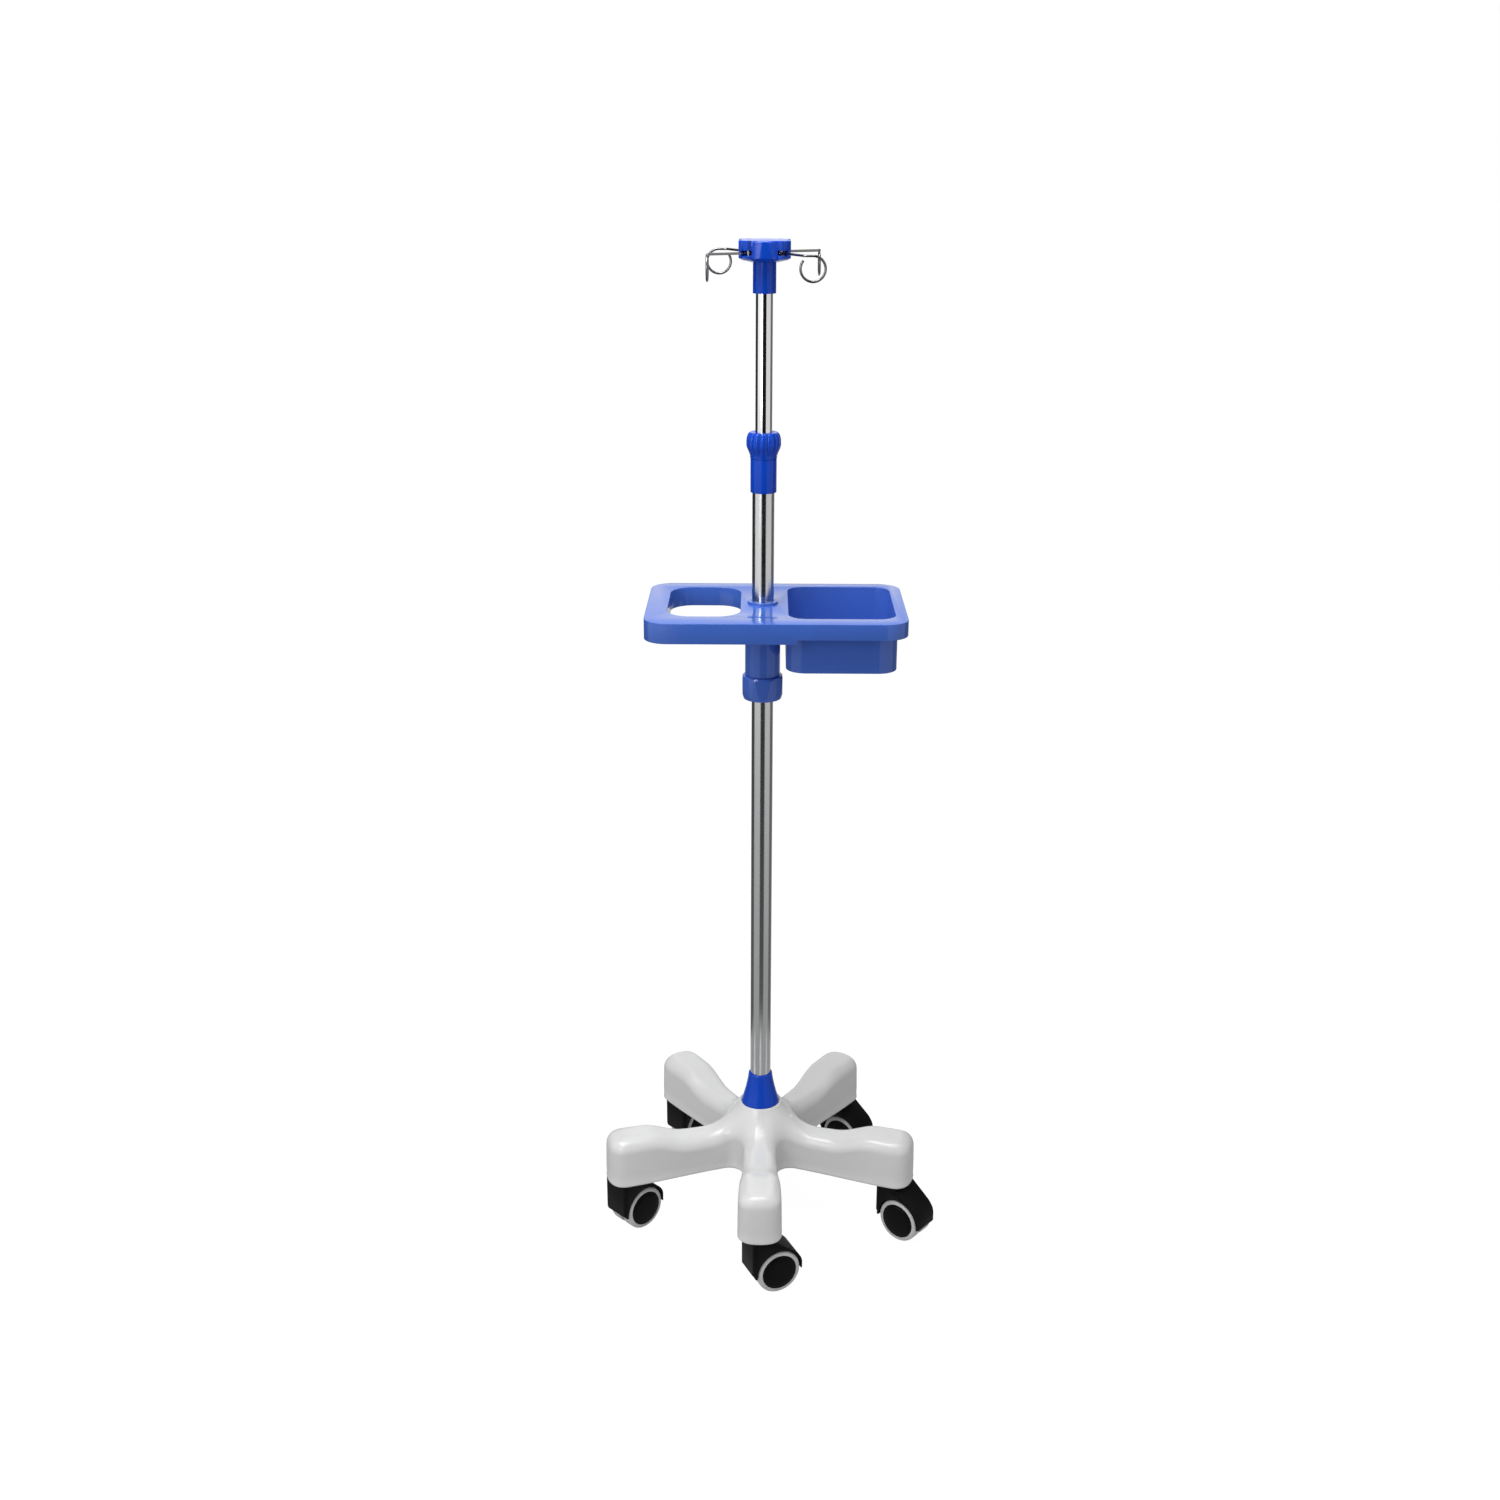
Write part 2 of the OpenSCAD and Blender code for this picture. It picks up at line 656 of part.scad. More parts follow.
module at_caster(i) {
    leg_turn = 360 / LEGS * i - 90;
    rotate(leg_turn) translate([stem_at, 0, 0]) rotate(CASTER_TURN[i] - leg_turn) children();
}

module hood_profile() {
    shoulder = 52;
    intersection() {
        translate([trail, wheel_r]) circle(hood_r);
        translate([-hood_nose, wheel_r - 2]) square([hood_nose + trail + hood_r, hood_top_z]);
    }
    polygon([
        [-hood_nose, nose_foot_z], [-hood_nose, hood_top_z], [stem_r + 4, hood_top_z],
        [trail + hood_r * cos(shoulder), wheel_r + hood_r * sin(shoulder)], [trail, wheel_r + 1],
        [trail - wheel_r, nose_foot_z]
    ]);
}

module caster_hood() {
    color(BLACK) difference() {
        union() {
            intersection() {
                translate([0, hood_w / 2, 0]) rotate([90, 0, 0]) linear_extrude(hood_w) hood_profile();
                translate([(trail + hood_r - hood_nose) / 2, 0])
                    linear_extrude(hood_top_z) round_rect(trail + hood_r + hood_nose, hood_w, 4);
            }
            translate([trail, web_w / 2, wheel_r]) rotate([90, 0, 0]) cylinder(r = axle_r + 5, h = web_w);
        }
        for (s = [-1, 1]) translate([trail, s * web_w / 2, wheel_r]) rotate([-s * 90, 0, 0])
            cylinder(r = well_r, h = hood_w);
        translate([0, 0, stem_foot_z - 0.3]) cylinder(r = stem_r + FIT, h = hood_top_z);
        translate([trail, hood_w, wheel_r]) rotate([90, 0, 0]) cylinder(r = axle_r, h = 2 * hood_w);
    }
}

module caster_axle() {
    half = wheel_out - 3;
    color(STEEL) translate([trail, half, wheel_r]) rotate([90, 0, 0]) cylinder(r = axle_r, h = 2 * half);
}

// A wheel lies along its own axis, with its inner face at z = wheel_in
module on_axle(side) {
    translate([trail, 0, wheel_r]) rotate([-side * 90, 0, 0]) children();
}

module tyre() {
    color(GREY) rotate_extrude() polygon([
        [hub_cap_r, wheel_in], [wheel_r - 1.5, wheel_in], [wheel_r, wheel_in + 1.5],
        [wheel_r, wheel_out - 3], [wheel_r - 1, wheel_out - 1.2], [wheel_r - 2.6, wheel_out],
        [hub_cap_r, wheel_out]
    ]);
}

module wheel() {
    color(BLACK) difference() {
        rotate_extrude() polygon([
            [0, wheel_in], [hub_cap_r, wheel_in], [hub_cap_r, wheel_out + 0.6],
            for (k = [0 : 6]) let (t = k / 6)
                [(hub_cap_r - 0.8) * cos(90 * t), wheel_out + 0.9 + (cap_dome - 0.9) * sin(90 * t)]
        ]);
        cylinder(r = axle_r + FIT, h = wheel_out - 3 + CLEAR);
    }
}

base_shell();
stem_sockets();
caster_stems();
pole_socket();
base_washer();
base_bolt();
tube_plug();
outer_tube();
base_cone();
lock_sleeve();
lock_collet();
lock_knob();
mast_guide();
inner_tube();
hook_head();
hook_pins();
head_screw();
tray();
tray_collet();
tray_nut();
for (i = [0 : HOOKS - 1]) hook(i);
for (i = [0 : LEGS - 1]) {
    at_caster(i) caster_hood();
    at_caster(i) caster_axle();
    at_caster(i) on_axle(-1) tyre();
    at_caster(i) on_axle(1) tyre();
    at_caster(i) on_axle(-1) wheel();
    at_caster(i) on_axle(1) wheel();
}
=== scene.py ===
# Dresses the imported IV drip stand: moulded plastics, plated tubes, bent-wire hooks and twin-wheel casters.

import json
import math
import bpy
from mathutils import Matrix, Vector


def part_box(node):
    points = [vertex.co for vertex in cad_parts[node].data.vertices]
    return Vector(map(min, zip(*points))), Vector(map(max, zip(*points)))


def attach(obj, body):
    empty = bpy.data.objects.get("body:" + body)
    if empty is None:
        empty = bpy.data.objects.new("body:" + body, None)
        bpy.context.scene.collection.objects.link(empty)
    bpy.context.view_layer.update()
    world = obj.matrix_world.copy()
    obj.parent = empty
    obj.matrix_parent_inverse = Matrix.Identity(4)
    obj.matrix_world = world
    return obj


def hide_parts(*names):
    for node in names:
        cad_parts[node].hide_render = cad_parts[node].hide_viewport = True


bl_info = {
    "name": "IV Drip Stand",
    "version": (1, 0, 0),
    "blender": (4, 5, 0),
    "location": "3D View > Sidebar > Drip Stand",
    "description": "Builds the finished look of a rolling IV drip stand around its CAD model",
    "category": "Object",
}

import bmesh
import bpy
from bpy.props import FloatProperty, FloatVectorProperty, IntProperty, PointerProperty
from mathutils import Matrix, Vector

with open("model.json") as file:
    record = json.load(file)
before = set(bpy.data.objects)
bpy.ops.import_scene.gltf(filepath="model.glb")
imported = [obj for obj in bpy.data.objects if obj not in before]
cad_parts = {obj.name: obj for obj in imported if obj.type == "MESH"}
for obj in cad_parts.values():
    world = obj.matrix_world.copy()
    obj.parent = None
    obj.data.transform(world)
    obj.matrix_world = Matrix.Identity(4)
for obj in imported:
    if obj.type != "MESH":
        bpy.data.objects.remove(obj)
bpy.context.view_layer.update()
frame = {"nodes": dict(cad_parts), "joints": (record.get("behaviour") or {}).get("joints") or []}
JOINTS = {joint["name"]: joint for joint in frame["joints"]}
LEGS = 5
HOOKS = 4


def colour(code):
    """An sRGB hex value as linear red, green and blue."""
    parts = [int(code[i : i + 2], 16) / 255 for i in (1, 3, 5)]
    return [c / 12.92 if c <= 0.04045 else ((c + 0.055) / 1.055) ** 2.4 for c in parts]


# ---- materials ----


def add_node(tree, kind, values=None, links=None, **settings):
    """Adds a node, sets its own settings and input values, and links its inputs."""
    node = tree.nodes.new(kind)
    for name, value in settings.items():
        setattr(node, name, value)
    for name, value in (values or {}).items():
        node.inputs[name].default_value = value
    for name, (source, output) in (links or {}).items():
        tree.links.new(source.outputs[output], node.inputs[name])
    return node


def new_material(name):
    material = bpy.data.materials.new(name)
    material.use_nodes = True
    material.node_tree.nodes.clear()
    return material, material.node_tree


def finish_material(tree, shader):
    add_node(tree, "ShaderNodeOutputMaterial", links={"Surface": (shader, 0)})


def moulded_plastic(name, base, roughness, ripple=0.05, drift=0.06, shine=0.5):
    """Injection-moulded plastic: flow ripples some centimetres long, and a fine skin from the mould."""
    material, tree = new_material(name)
    place = add_node(tree, "ShaderNodeTexCoord")
    # Ripples about 35 mm apart, as left by the melt's flow; they bend the highlights a little
    flow = add_node(tree, "ShaderNodeTexNoise", {"Scale": 28.0, "Detail": 2.0, "Roughness": 0.4},
                    {"Vector": (place, "Object")})
    # The mould's skin is finer than shows, so it is drawn at about 1.2 mm
    skin = add_node(tree, "ShaderNodeTexNoise", {"Scale": 850.0, "Detail": 3.0, "Roughness": 0.6},
                    {"Vector": (place, "Object")})
    dark = [c * (1 - drift) for c in base]
    tint = add_node(tree, "ShaderNodeValToRGB", links={"Fac": (flow, "Fac")})
    tint.color_ramp.elements[0].position = 0.3
    tint.color_ramp.elements[0].color = (*dark, 1)
    tint.color_ramp.elements[1].position = 0.7
    tint.color_ramp.elements[1].color = (*base, 1)
    gloss = add_node(tree, "ShaderNodeMapRange",
                     {"From Min": 0.3, "From Max": 0.7, "To Min": roughness * 0.8, "To Max": roughness * 1.25},
                     {"Value": (skin, "Fac")})
    wave = add_node(tree, "ShaderNodeBump", {"Strength": ripple, "Distance": 0.002}, {"Height": (flow, "Fac")})
    grain = add_node(tree, "ShaderNodeBump", {"Strength": ripple, "Distance": 0.00004},
                     {"Height": (skin, "Fac"), "Normal": (wave, "Normal")})
    shader = add_node(tree, "ShaderNodeBsdfPrincipled", {"IOR": 1.5, "Specular IOR Level": shine},
                      {"Base Color": (tint, "Color"), "Roughness": (gloss, "Result"), "Normal": (grain, "Normal")})
    finish_material(tree, shader)
    return material


def plated_tube(name, base, roughness, polish):
    """Chrome on drawn steel tube: a mirror with faint polishing lines that run along the tube."""
    material, tree = new_material(name)
    place = add_node(tree, "ShaderNodeTexCoord")
    # Polishing lines are too fine to show, so they are drawn about 2.5 mm apart and 80 mm long
    stretch = add_node(tree, "ShaderNodeMapping", {"Scale": (400.0, 400.0, 12.0)}, {"Vector": (place, "Object")})
    lines = add_node(tree, "ShaderNodeTexNoise", {"Scale": 1.0, "Detail": 2.0}, {"Vector": (stretch, "Vector")})
    haze = add_node(tree, "ShaderNodeTexNoise", {"Scale": 18.0, "Detail": 4.0}, {"Vector": (place, "Object")})
    gloss = add_node(tree, "ShaderNodeMapRange",
                     {"From Min": 0.3, "From Max": 0.75, "To Min": roughness, "To Max": roughness * 1.8},
                     {"Value": (haze, "Fac")})
    scratch = add_node(tree, "ShaderNodeBump", {"Strength": polish, "Distance": 0.00003}, {"Height": (lines, "Fac")})
    shader = add_node(tree, "ShaderNodeBsdfPrincipled", {"Base Color": (*base, 1), "Metallic": 1.0},
                      {"Roughness": (gloss, "Result"), "Normal": (scratch, "Normal")})
    finish_material(tree, shader)
    return material


def plated_hardware(name, base, roughness):
    """Zinc-plated steel: a soft metal shine with a patchy, slightly milky coat."""
    material, tree = new_material(name)
    place = add_node(tree, "ShaderNodeTexCoord")
    patches = add_node(tree, "ShaderNodeTexVoronoi", {"Scale": 420.0}, {"Vector": (place, "Object")})
    gloss = add_node(tree, "ShaderNodeMapRange", {"To Min": roughness * 0.8, "To Max": roughness * 1.3},
                     {"Value": (patches, "Distance")})
    shader = add_node(tree, "ShaderNodeBsdfPrincipled", {"Base Color": (*base, 1), "Metallic": 1.0},
                      {"Roughness": (gloss, "Result")})
    finish_material(tree, shader)
    return material


def soft_tread(name, base, roughness):
    """Thermoplastic rubber: matt, faintly mottled, with fine scuffs from rolling."""
    material, tree = new_material(name)
    place = add_node(tree, "ShaderNodeTexCoord")
    mottle = add_node(tree, "ShaderNodeTexNoise", {"Scale": 120.0, "Detail": 5.0}, {"Vector": (place, "Object")})
    tint = add_node(tree, "ShaderNodeValToRGB", links={"Fac": (mottle, "Fac")})
    tint.color_ramp.elements[0].position = 0.3
    tint.color_ramp.elements[0].color = (*[c * 0.88 for c in base], 1)
    tint.color_ramp.elements[1].position = 0.7
    tint.color_ramp.elements[1].color = (*base, 1)
    scuff = add_node(tree, "ShaderNodeTexNoise", {"Scale": 1500.0, "Detail": 2.0}, {"Vector": (place, "Object")})
    bump = add_node(tree, "ShaderNodeBump", {"Strength": 0.15, "Distance": 0.0001}, {"Height": (scuff, "Fac")})
    shader = add_node(tree, "ShaderNodeBsdfPrincipled", {"Roughness": roughness, "IOR": 1.52},
                      {"Base Color": (tint, "Color"), "Normal": (bump, "Normal")})
    finish_material(tree, shader)
    return material


def finishes(scene):
    """The stand's materials, made once and then found by name."""
    look = scene.drip_finish
    makers = {
        # Gloss ABS: clear highlights along each rounded edge
        "moulded_abs_white": lambda n: moulded_plastic(n, look.base_colour, 0.2, 0.05, 0.02),
        "moulded_abs_royal_blue": lambda n: moulded_plastic(n, look.fitting_colour, 0.17, 0.05, 0.08, 0.3),
        "moulded_abs_tray_blue": lambda n: moulded_plastic(n, look.tray_colour, 0.14, 0.04, 0.05, 0.45),
        "chromed_steel_tube": lambda n: plated_tube(n, look.chrome_colour, look.chrome_roughness, 0.02),
        "satin_steel_tube": lambda n: plated_tube(n, look.satin_colour, look.satin_roughness, 0.08),
        "chromed_hook_wire": lambda n: plated_tube(n, look.wire_colour, 0.16, 0.1),
        "zinc_plated_steel": lambda n: plated_hardware(n, colour("#B9BCC0"), 0.32),
        "nylon_bushing": lambda n: moulded_plastic(n, colour("#DEDDD8"), 0.45, 0.04, 0.05),
        # Filled nylon: matt black that swallows most of the studio's light
        "glass_filled_nylon_black": lambda n: moulded_plastic(n, look.caster_colour, 0.42, 0.12, 0.2, 0.14),
        "wheel_cap_black": lambda n: moulded_plastic(n, look.cap_colour, 0.36, 0.08, 0.2, 0.12),
        "rubber_tread_grey": lambda n: soft_tread(n, look.tread_colour, 0.5),
    }
    return {name: bpy.data.materials.get(name) or make(name) for name, make in makers.items()}


# ---- meshes ----


def finish_piece(name, mesh, material, body, slot, *nodes, smooth_angle=35):
    """Shades a mesh, gives it its material, and lets it stand for its CAD nodes."""
    mesh.shade_smooth()
    mesh.set_sharp_from_angle(angle=math.radians(smooth_angle))
    mesh.materials.clear()
    mesh.materials.append(material)
    piece = bpy.data.objects.new(name, mesh)
    bpy.context.scene.collection.objects.link(piece)
    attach(piece, body)
    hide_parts(*nodes)
    return piece


def mesh_of(name, points, faces, matrix=None):
    """A closed mesh with its faces outwards."""
    mesh = bpy.data.meshes.new(name)
    mesh.from_pydata([tuple(p) for p in points], [], faces)
    if matrix:
        mesh.transform(matrix)
    build = bmesh.new()
    build.from_mesh(mesh)
    bmesh.ops.recalc_face_normals(build, faces=build.faces)
    build.to_mesh(mesh)
    build.free()
    return mesh


def turned(name, profile, sides=96, matrix=None):
    """A turned mesh from a closed profile of (radius, height); a radius of 0 closes on the axis."""
    points, rows = [], []
    for radius, height in profile:
        if radius < 1e-7:
            rows.append([len(points)] * sides)
            points.append((0, 0, height))
            continue
        rows.append(list(range(len(points), len(points) + sides)))
        for k in range(sides):
            a = 2 * math.pi * k / sides
            points.append((radius * math.cos(a), radius * math.sin(a), height))
    faces = []
    for i, row in enumerate(rows):
        after = rows[(i + 1) % len(rows)]
        for k in range(sides):
            n = (k + 1) % sides
            face = list(dict.fromkeys((row[k], row[n], after[n], after[k])))
            if len(face) > 2:
                faces.append(face)
    return mesh_of(name, points, faces, matrix)


def rounded(corners, radius, steps=4):
    """A closed profile with each corner rounded by up to radius."""
    out = []
    for i, corner in enumerate(corners):
        here = Vector(corner)
        before = Vector(corners[i - 1]) - here
        after = Vector(corners[(i + 1) % len(corners)]) - here
        turn = before.angle(after, math.pi)
        if corner[0] < 1e-7 or turn > math.radians(178):
            out.append(tuple(here))
            continue
        cut = min(radius / math.tan(turn / 2), before.length * 0.45, after.length * 0.45)
        start = here + before.normalized() * cut
        end = here + after.normalized() * cut
        for k in range(steps + 1):
            t = k / steps
            p = start * (1 - t) ** 2 + here * 2 * t * (1 - t) + end * t**2
            out.append((max(p.x, 0), p.y))
    return out


def soften(node, material, width=0.0006, angle=32, segments=2):
    """Finishes a CAD node that stays: its loose triangles are joined and its edges rounded."""
    part = frame["nodes"][node]
    part.data.materials.clear()
    part.data.materials.append(material)
    weld = part.modifiers.new("join", "WELD")
    weld.merge_threshold = 0.000002
    flat = part.modifiers.new("flats", "DECIMATE")
    flat.decimate_type = "DISSOLVE"
    flat.angle_limit = math.radians(0.6)
    if width:
        bevel = part.modifiers.new("edges", "BEVEL")
        bevel.width = width
        bevel.segments = segments
        bevel.limit_method = "ANGLE"
        bevel.angle_limit = math.radians(angle)
        bevel.use_clamp_overlap = True
    shade = part.modifiers.new("shading", "NODES")
    shade.node_group = edge_shading()
    return part


def new_tree(name, inputs):
    tree = bpy.data.node_groups.new(name, "GeometryNodeTree")
    tree.interface.new_socket("Geometry", in_out="INPUT", socket_type="NodeSocketGeometry")
    for label, kind, default in inputs:
        socket = tree.interface.new_socket(label, in_out="INPUT", socket_type=kind)
        if default is not None:
            socket.default_value = default
    tree.interface.new_socket("Geometry", in_out="OUTPUT", socket_type="NodeSocketGeometry")
    return tree, add_node(tree, "NodeGroupInput")


def edge_shading():
    """Smooth faces, with the edges over 30 degrees kept crisp."""
    found = bpy.data.node_groups.get("edge_shading")
    if found:
        return found
    tree, start = new_tree("edge_shading", [("Crisp angle", "NodeSocketFloat", math.radians(30))])
    fold = add_node(tree, "GeometryNodeInputMeshEdgeAngle")
    soft = add_node(tree, "ShaderNodeMath", links={0: (fold, "Unsigned Angle"), 1: (start, "Crisp angle")},
                    operation="LESS_THAN")
    faces = add_node(tree, "GeometryNodeSetShadeSmooth", {"Shade Smooth": True}, {"Geometry": (start, "Geometry")},
                     domain="FACE")
    edges = add_node(tree, "GeometryNodeSetShadeSmooth",
                     links={"Geometry": (faces, "Geometry"), "Shade Smooth": (soft, "Value")}, domain="EDGE")
    add_node(tree, "NodeGroupOutput", links={"Geometry": (edges, "Geometry")})
    return tree


def run_tree(name, mesh, tree, values):
    """Runs a Geometry Nodes tree on a mesh and returns the plain mesh that it makes."""
    carrier = bpy.data.objects.new(name, mesh)
    bpy.context.scene.collection.objects.link(carrier)
    modifier = carrier.modifiers.new("tree", "NODES")
    modifier.node_group = tree
    for item in tree.interface.items_tree:
        if item.in_out == "INPUT" and item.name in values:
            modifier[item.identifier] = values[item.name]
    graph = bpy.context.evaluated_depsgraph_get()
    graph.update()
    made = bpy.data.meshes.new_from_object(carrier.evaluated_get(graph))
    carrier.modifiers.clear()
    bpy.data.objects.remove(carrier)
    made.name = name
    return made


# ---- base ----


def ease(t):
    u = min(1, max(0, t))
    return u * u * (3 - 2 * u)


def base_mesh(size):
    """The five-legged shell: a closed skin that runs over the legs, round the rim and back under."""
    half_leg = math.pi / LEGS
    wall = size.wall
    seat_r = size.cone_foot_radius + 0.0004
    bead_r = seat_r + 0.0034
    reach = (size.leg_waist_width / 2 + size.web_radius) / math.sin(half_leg)
    web = Vector((reach * math.cos(half_leg), reach * math.sin(half_leg)))
    cap_x = size.leg_reach - size.stem_inset - 0.001
    cap_a, cap_b, power = size.leg_reach - cap_x, size.leg_end_width / 2, 2.5

    def half_width(x):
        return size.leg_waist_width / 2 + (size.leg_end_width - size.leg_waist_width) / 2 * ease(
            (x - web.x) / (cap_x - web.x))

    def inside(p):
        if p.x < web.x:
            return (p - web).length - size.web_radius
        if p.x < cap_x:
            return half_width(p.x) - p.y
        out = (max(0, (p.x - cap_x) / cap_a) ** power + max(0, p.y / cap_b) ** power) ** (1 / power)
        return cap_b * (1 - out)

    def ridge(r):
        hub = max(0, 1 - max(0, r - bead_r) / 0.048) ** 2.2
        return size.dip_height + (size.hub_height - size.dip_height) * hub + (
            size.end_height - size.dip_height) * ease((r - 0.5 * size.leg_reach) / (0.26 * size.leg_reach))

    def drop(e, r):
        return 0 if e >= r else r - math.sqrt(max(0, r * r - (r - max(0, e)) ** 2))

    def outer_z(p):
        return ridge(p.length) - drop(inside(p), size.edge_radius)

    hub_ceiling = size.hub_height - wall - 0.001

    def inner_z(p):
        z = ridge(p.length) - wall - drop(inside(p) - wall, size.edge_radius - wall)
        return min(z, hub_ceiling if p.length < 2 * bead_r else size.end_height - wall - 0.002)

    webs, sides, caps = 10, 16, 12
    outline = []
    for k in range(webs):
        a = math.pi + half_leg + (math.pi / 2 - half_leg) * k / webs
        u = Vector((math.cos(a), math.sin(a)))
        outline.append((web + size.web_radius * u, u))
    for k in range(sides):
        x = web.x + (cap_x - web.x) * k / sides
        outline.append((Vector((x, half_width(x))), Vector((0, -1))))
    for k in range(caps + 1):
        t = math.pi / 2 * (1 - k / caps)
        c, s = max(0, math.cos(t)) ** (2 / power), max(0, math.sin(t)) ** (2 / power)
        outline.append((Vector((cap_x + cap_a * c, cap_b * s)), -Vector((c / cap_a, s / cap_b)).normalized()))
    count = len(outline)
    columns = []
    for leg in range(LEGS):
        turn = Matrix.Rotation(2 * math.pi * leg / LEGS - math.pi / 2, 2)
        for k in range(2 * count - 2):
            j, mirror = (k, -1) if k < count else (2 * count - 2 - k, 1)
            columns.append((turn, mirror, *outline[j]))
    tops, unders = 26, 10
    rings = []
    rim = size.rim_height
    for turn, mirror, out, inward in columns:
        low = out + wall * inward
        ray = out.normalized()
        ring = [(ray * (size.pole_radius + 0.0003), size.hub_height), (ray * seat_r, size.hub_height),
                (ray * (seat_r + 0.0003), size.hub_height + 0.0012), (ray * (seat_r + 0.0010), size.hub_height + 0.0018),
                (ray * (bead_r - 0.0016), size.hub_height + 0.0018), (ray * (bead_r - 0.0006), size.hub_height + 0.0011)]
        hub = ray * bead_r
        for k in range(tops + 1):
            p = hub + (out - hub) * (1 - (1 - k / tops) ** 2)
            ring.append((p, outer_z(p)))
        # The rim ends in a small rounded lip
        lip = out - 0.0008 * inward
        wall_top = outer_z(out)
        for t in (0.35, 0.7):
            ring.append((out - 0.0008 * t * inward, wall_top + (rim + 0.0045 - wall_top) * t))
        ring += [(out - 0.0004 * inward, rim + 0.0042), (lip, rim + 0.0030), (lip, rim + 0.0010),
                 (lip + 0.0009 * inward, rim), (low - 0.0006 * inward, rim)]
        for k in range(unders + 1):
            p = low + (low.normalized() * bead_r - low) * (k / unders) ** 2
            ring.append((p, inner_z(p)))
        ring.append((ray * (size.pole_radius + 0.0003), hub_ceiling))
        rings.append([(*(turn @ Vector((p.x, mirror * p.y))), z) for p, z in ring])
    m = len(rings[0])
    points = [point for ring in rings for point in ring]
    faces = []
    for i in range(len(rings)):
        n = (i + 1) % len(rings)
        for j in range(m):
            k = (j + 1) % m
            faces.append((i * m + j, i * m + k, n * m + k, n * m + j))
    return mesh_of("moulded_base", points, faces)


class DripStandBase(bpy.types.PropertyGroup):
    """Sizes of the rolling base."""

    leg_reach: FloatProperty(name="Leg reach", description="Pole's axis to a leg's end", default=0.197, unit="LENGTH")
    stem_inset: FloatProperty(name="Stem inset", description="Leg's end in to the caster stem", default=0.021, unit="LENGTH")
    leg_end_width: FloatProperty(name="Leg end width", description="Width over the caster", default=0.051, unit="LENGTH")
    leg_waist_width: FloatProperty(name="Leg waist width", description="Width near the hub", default=0.040, unit="LENGTH")
    rim_height: FloatProperty(name="Rim height", description="Lower rim above the floor",
                              default=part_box("base_shell")[0].z, unit="LENGTH")
    dip_height: FloatProperty(name="Dip height", description="Lowest part of a leg's back", default=0.120, unit="LENGTH")
    end_height: FloatProperty(name="End height", description="Top of a leg's end", default=0.133, unit="LENGTH")
    hub_height: FloatProperty(name="Hub height", description="Seat of the cone",
                              default=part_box("base_cone")[0].z, unit="LENGTH")
    edge_radius: FloatProperty(name="Edge radius", description="Rounding of a leg's back", default=0.016, unit="LENGTH")
    web_radius: FloatProperty(name="Web radius", description="Rounding between two legs", default=0.018, unit="LENGTH")
    wall: FloatProperty(name="Wall", description="Thickness of the moulding", default=0.003, unit="LENGTH")
    cone_foot_radius: FloatProperty(name="Cone foot radius", description="Foot of the blue cone",
                                    default=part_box("base_cone")[1].x, unit="LENGTH")
    pole_radius: FloatProperty(name="Pole radius", description="Outside of the lower tube",
                               default=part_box("outer_tube")[1].x, unit="LENGTH")


class DripStandFinish(bpy.types.PropertyGroup):
    """Colours and finishes of the stand."""

    base_colour: FloatVectorProperty(name="Base", description="White of the base", subtype="COLOR",
                                     default=colour("#DEDEDE"))
    fitting_colour: FloatVectorProperty(name="Fittings", description="Blue of the cone, lock and head", subtype="COLOR",
                                        default=colour("#0B47C4"))
    tray_colour: FloatVectorProperty(name="Tray", description="Blue of the tray and its nut", subtype="COLOR",
                                     default=colour("#4369C4"))
    chrome_colour: FloatVectorProperty(name="Chrome", description="Plating of the mast", subtype="COLOR",
                                       default=colour("#F1F2F4"))
    chrome_roughness: FloatProperty(name="Chrome roughness", description="Haze of the mast", default=0.05, min=0, max=1)
    satin_colour: FloatVectorProperty(name="Lower tube", description="Plating of the lower tube", subtype="COLOR",
                                      default=colour("#D8D9DA"))
    satin_roughness: FloatProperty(name="Lower tube roughness", description="Haze of the lower tube", default=0.12,
                                   min=0, max=1)
    wire_colour: FloatVectorProperty(name="Hook wire", description="Plating of the hooks", subtype="COLOR",
                                     default=colour("#8C8C8E"))
    caster_colour: FloatVectorProperty(name="Caster hood", description="Black of the hoods", subtype="COLOR",
                                       default=colour("#0C0C0D"))
    cap_colour: FloatVectorProperty(name="Wheel cap", description="Black of the wheel caps", subtype="COLOR",
                                    default=colour("#0A0A0B"))
    tread_colour: FloatVectorProperty(name="Tread", description="Grey of the treads", subtype="COLOR",
                                      default=colour("#D3D3D3"))


class DRIPSTAND_OT_base(bpy.types.Operator):
    """Makes the moulded base, its cone and the hardware under it"""

    bl_idname = "dripstand.base"
    bl_label = "Base"

    def execute(self, context):
        paint = finishes(context.scene)
        size = context.scene.drip_base
        finish_piece("moulded_base", base_mesh(size), paint["moulded_abs_white"], "stand", "white_plastic",
                     "base_shell", smooth_angle=50)
        low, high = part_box("base_cone")
        foot, top = size.cone_foot_radius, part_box("lock_sleeve")[1].x
        height = high.z - low.z
        side = [(foot, low.z), (foot, low.z + 0.002)]
        side += [(top + (foot - top) * (1 - k / 12) ** 1.35, low.z + 0.002 + (height - 0.0032) * k / 12)
                 for k in range(1, 13)]
        inner = size.pole_radius + 0.0001
        cone = turned("hub_cone", rounded(side + [(top - 0.0009, high.z), (inner, high.z), (inner, low.z)], 0.0006), 96)
        finish_piece("hub_cone", cone, paint["moulded_abs_royal_blue"], "stand", "blue_plastic", "base_cone")
        soften("stem_sockets", paint["moulded_abs_white"], 0.0005)
        for node in ("caster_stems", "pole_socket", "base_washer", "base_bolt", "tube_plug"):
            soften(node, paint["zinc_plated_steel"], 0.0004)
        return {"FINISHED"}


# ---- pole, lock and mast ----


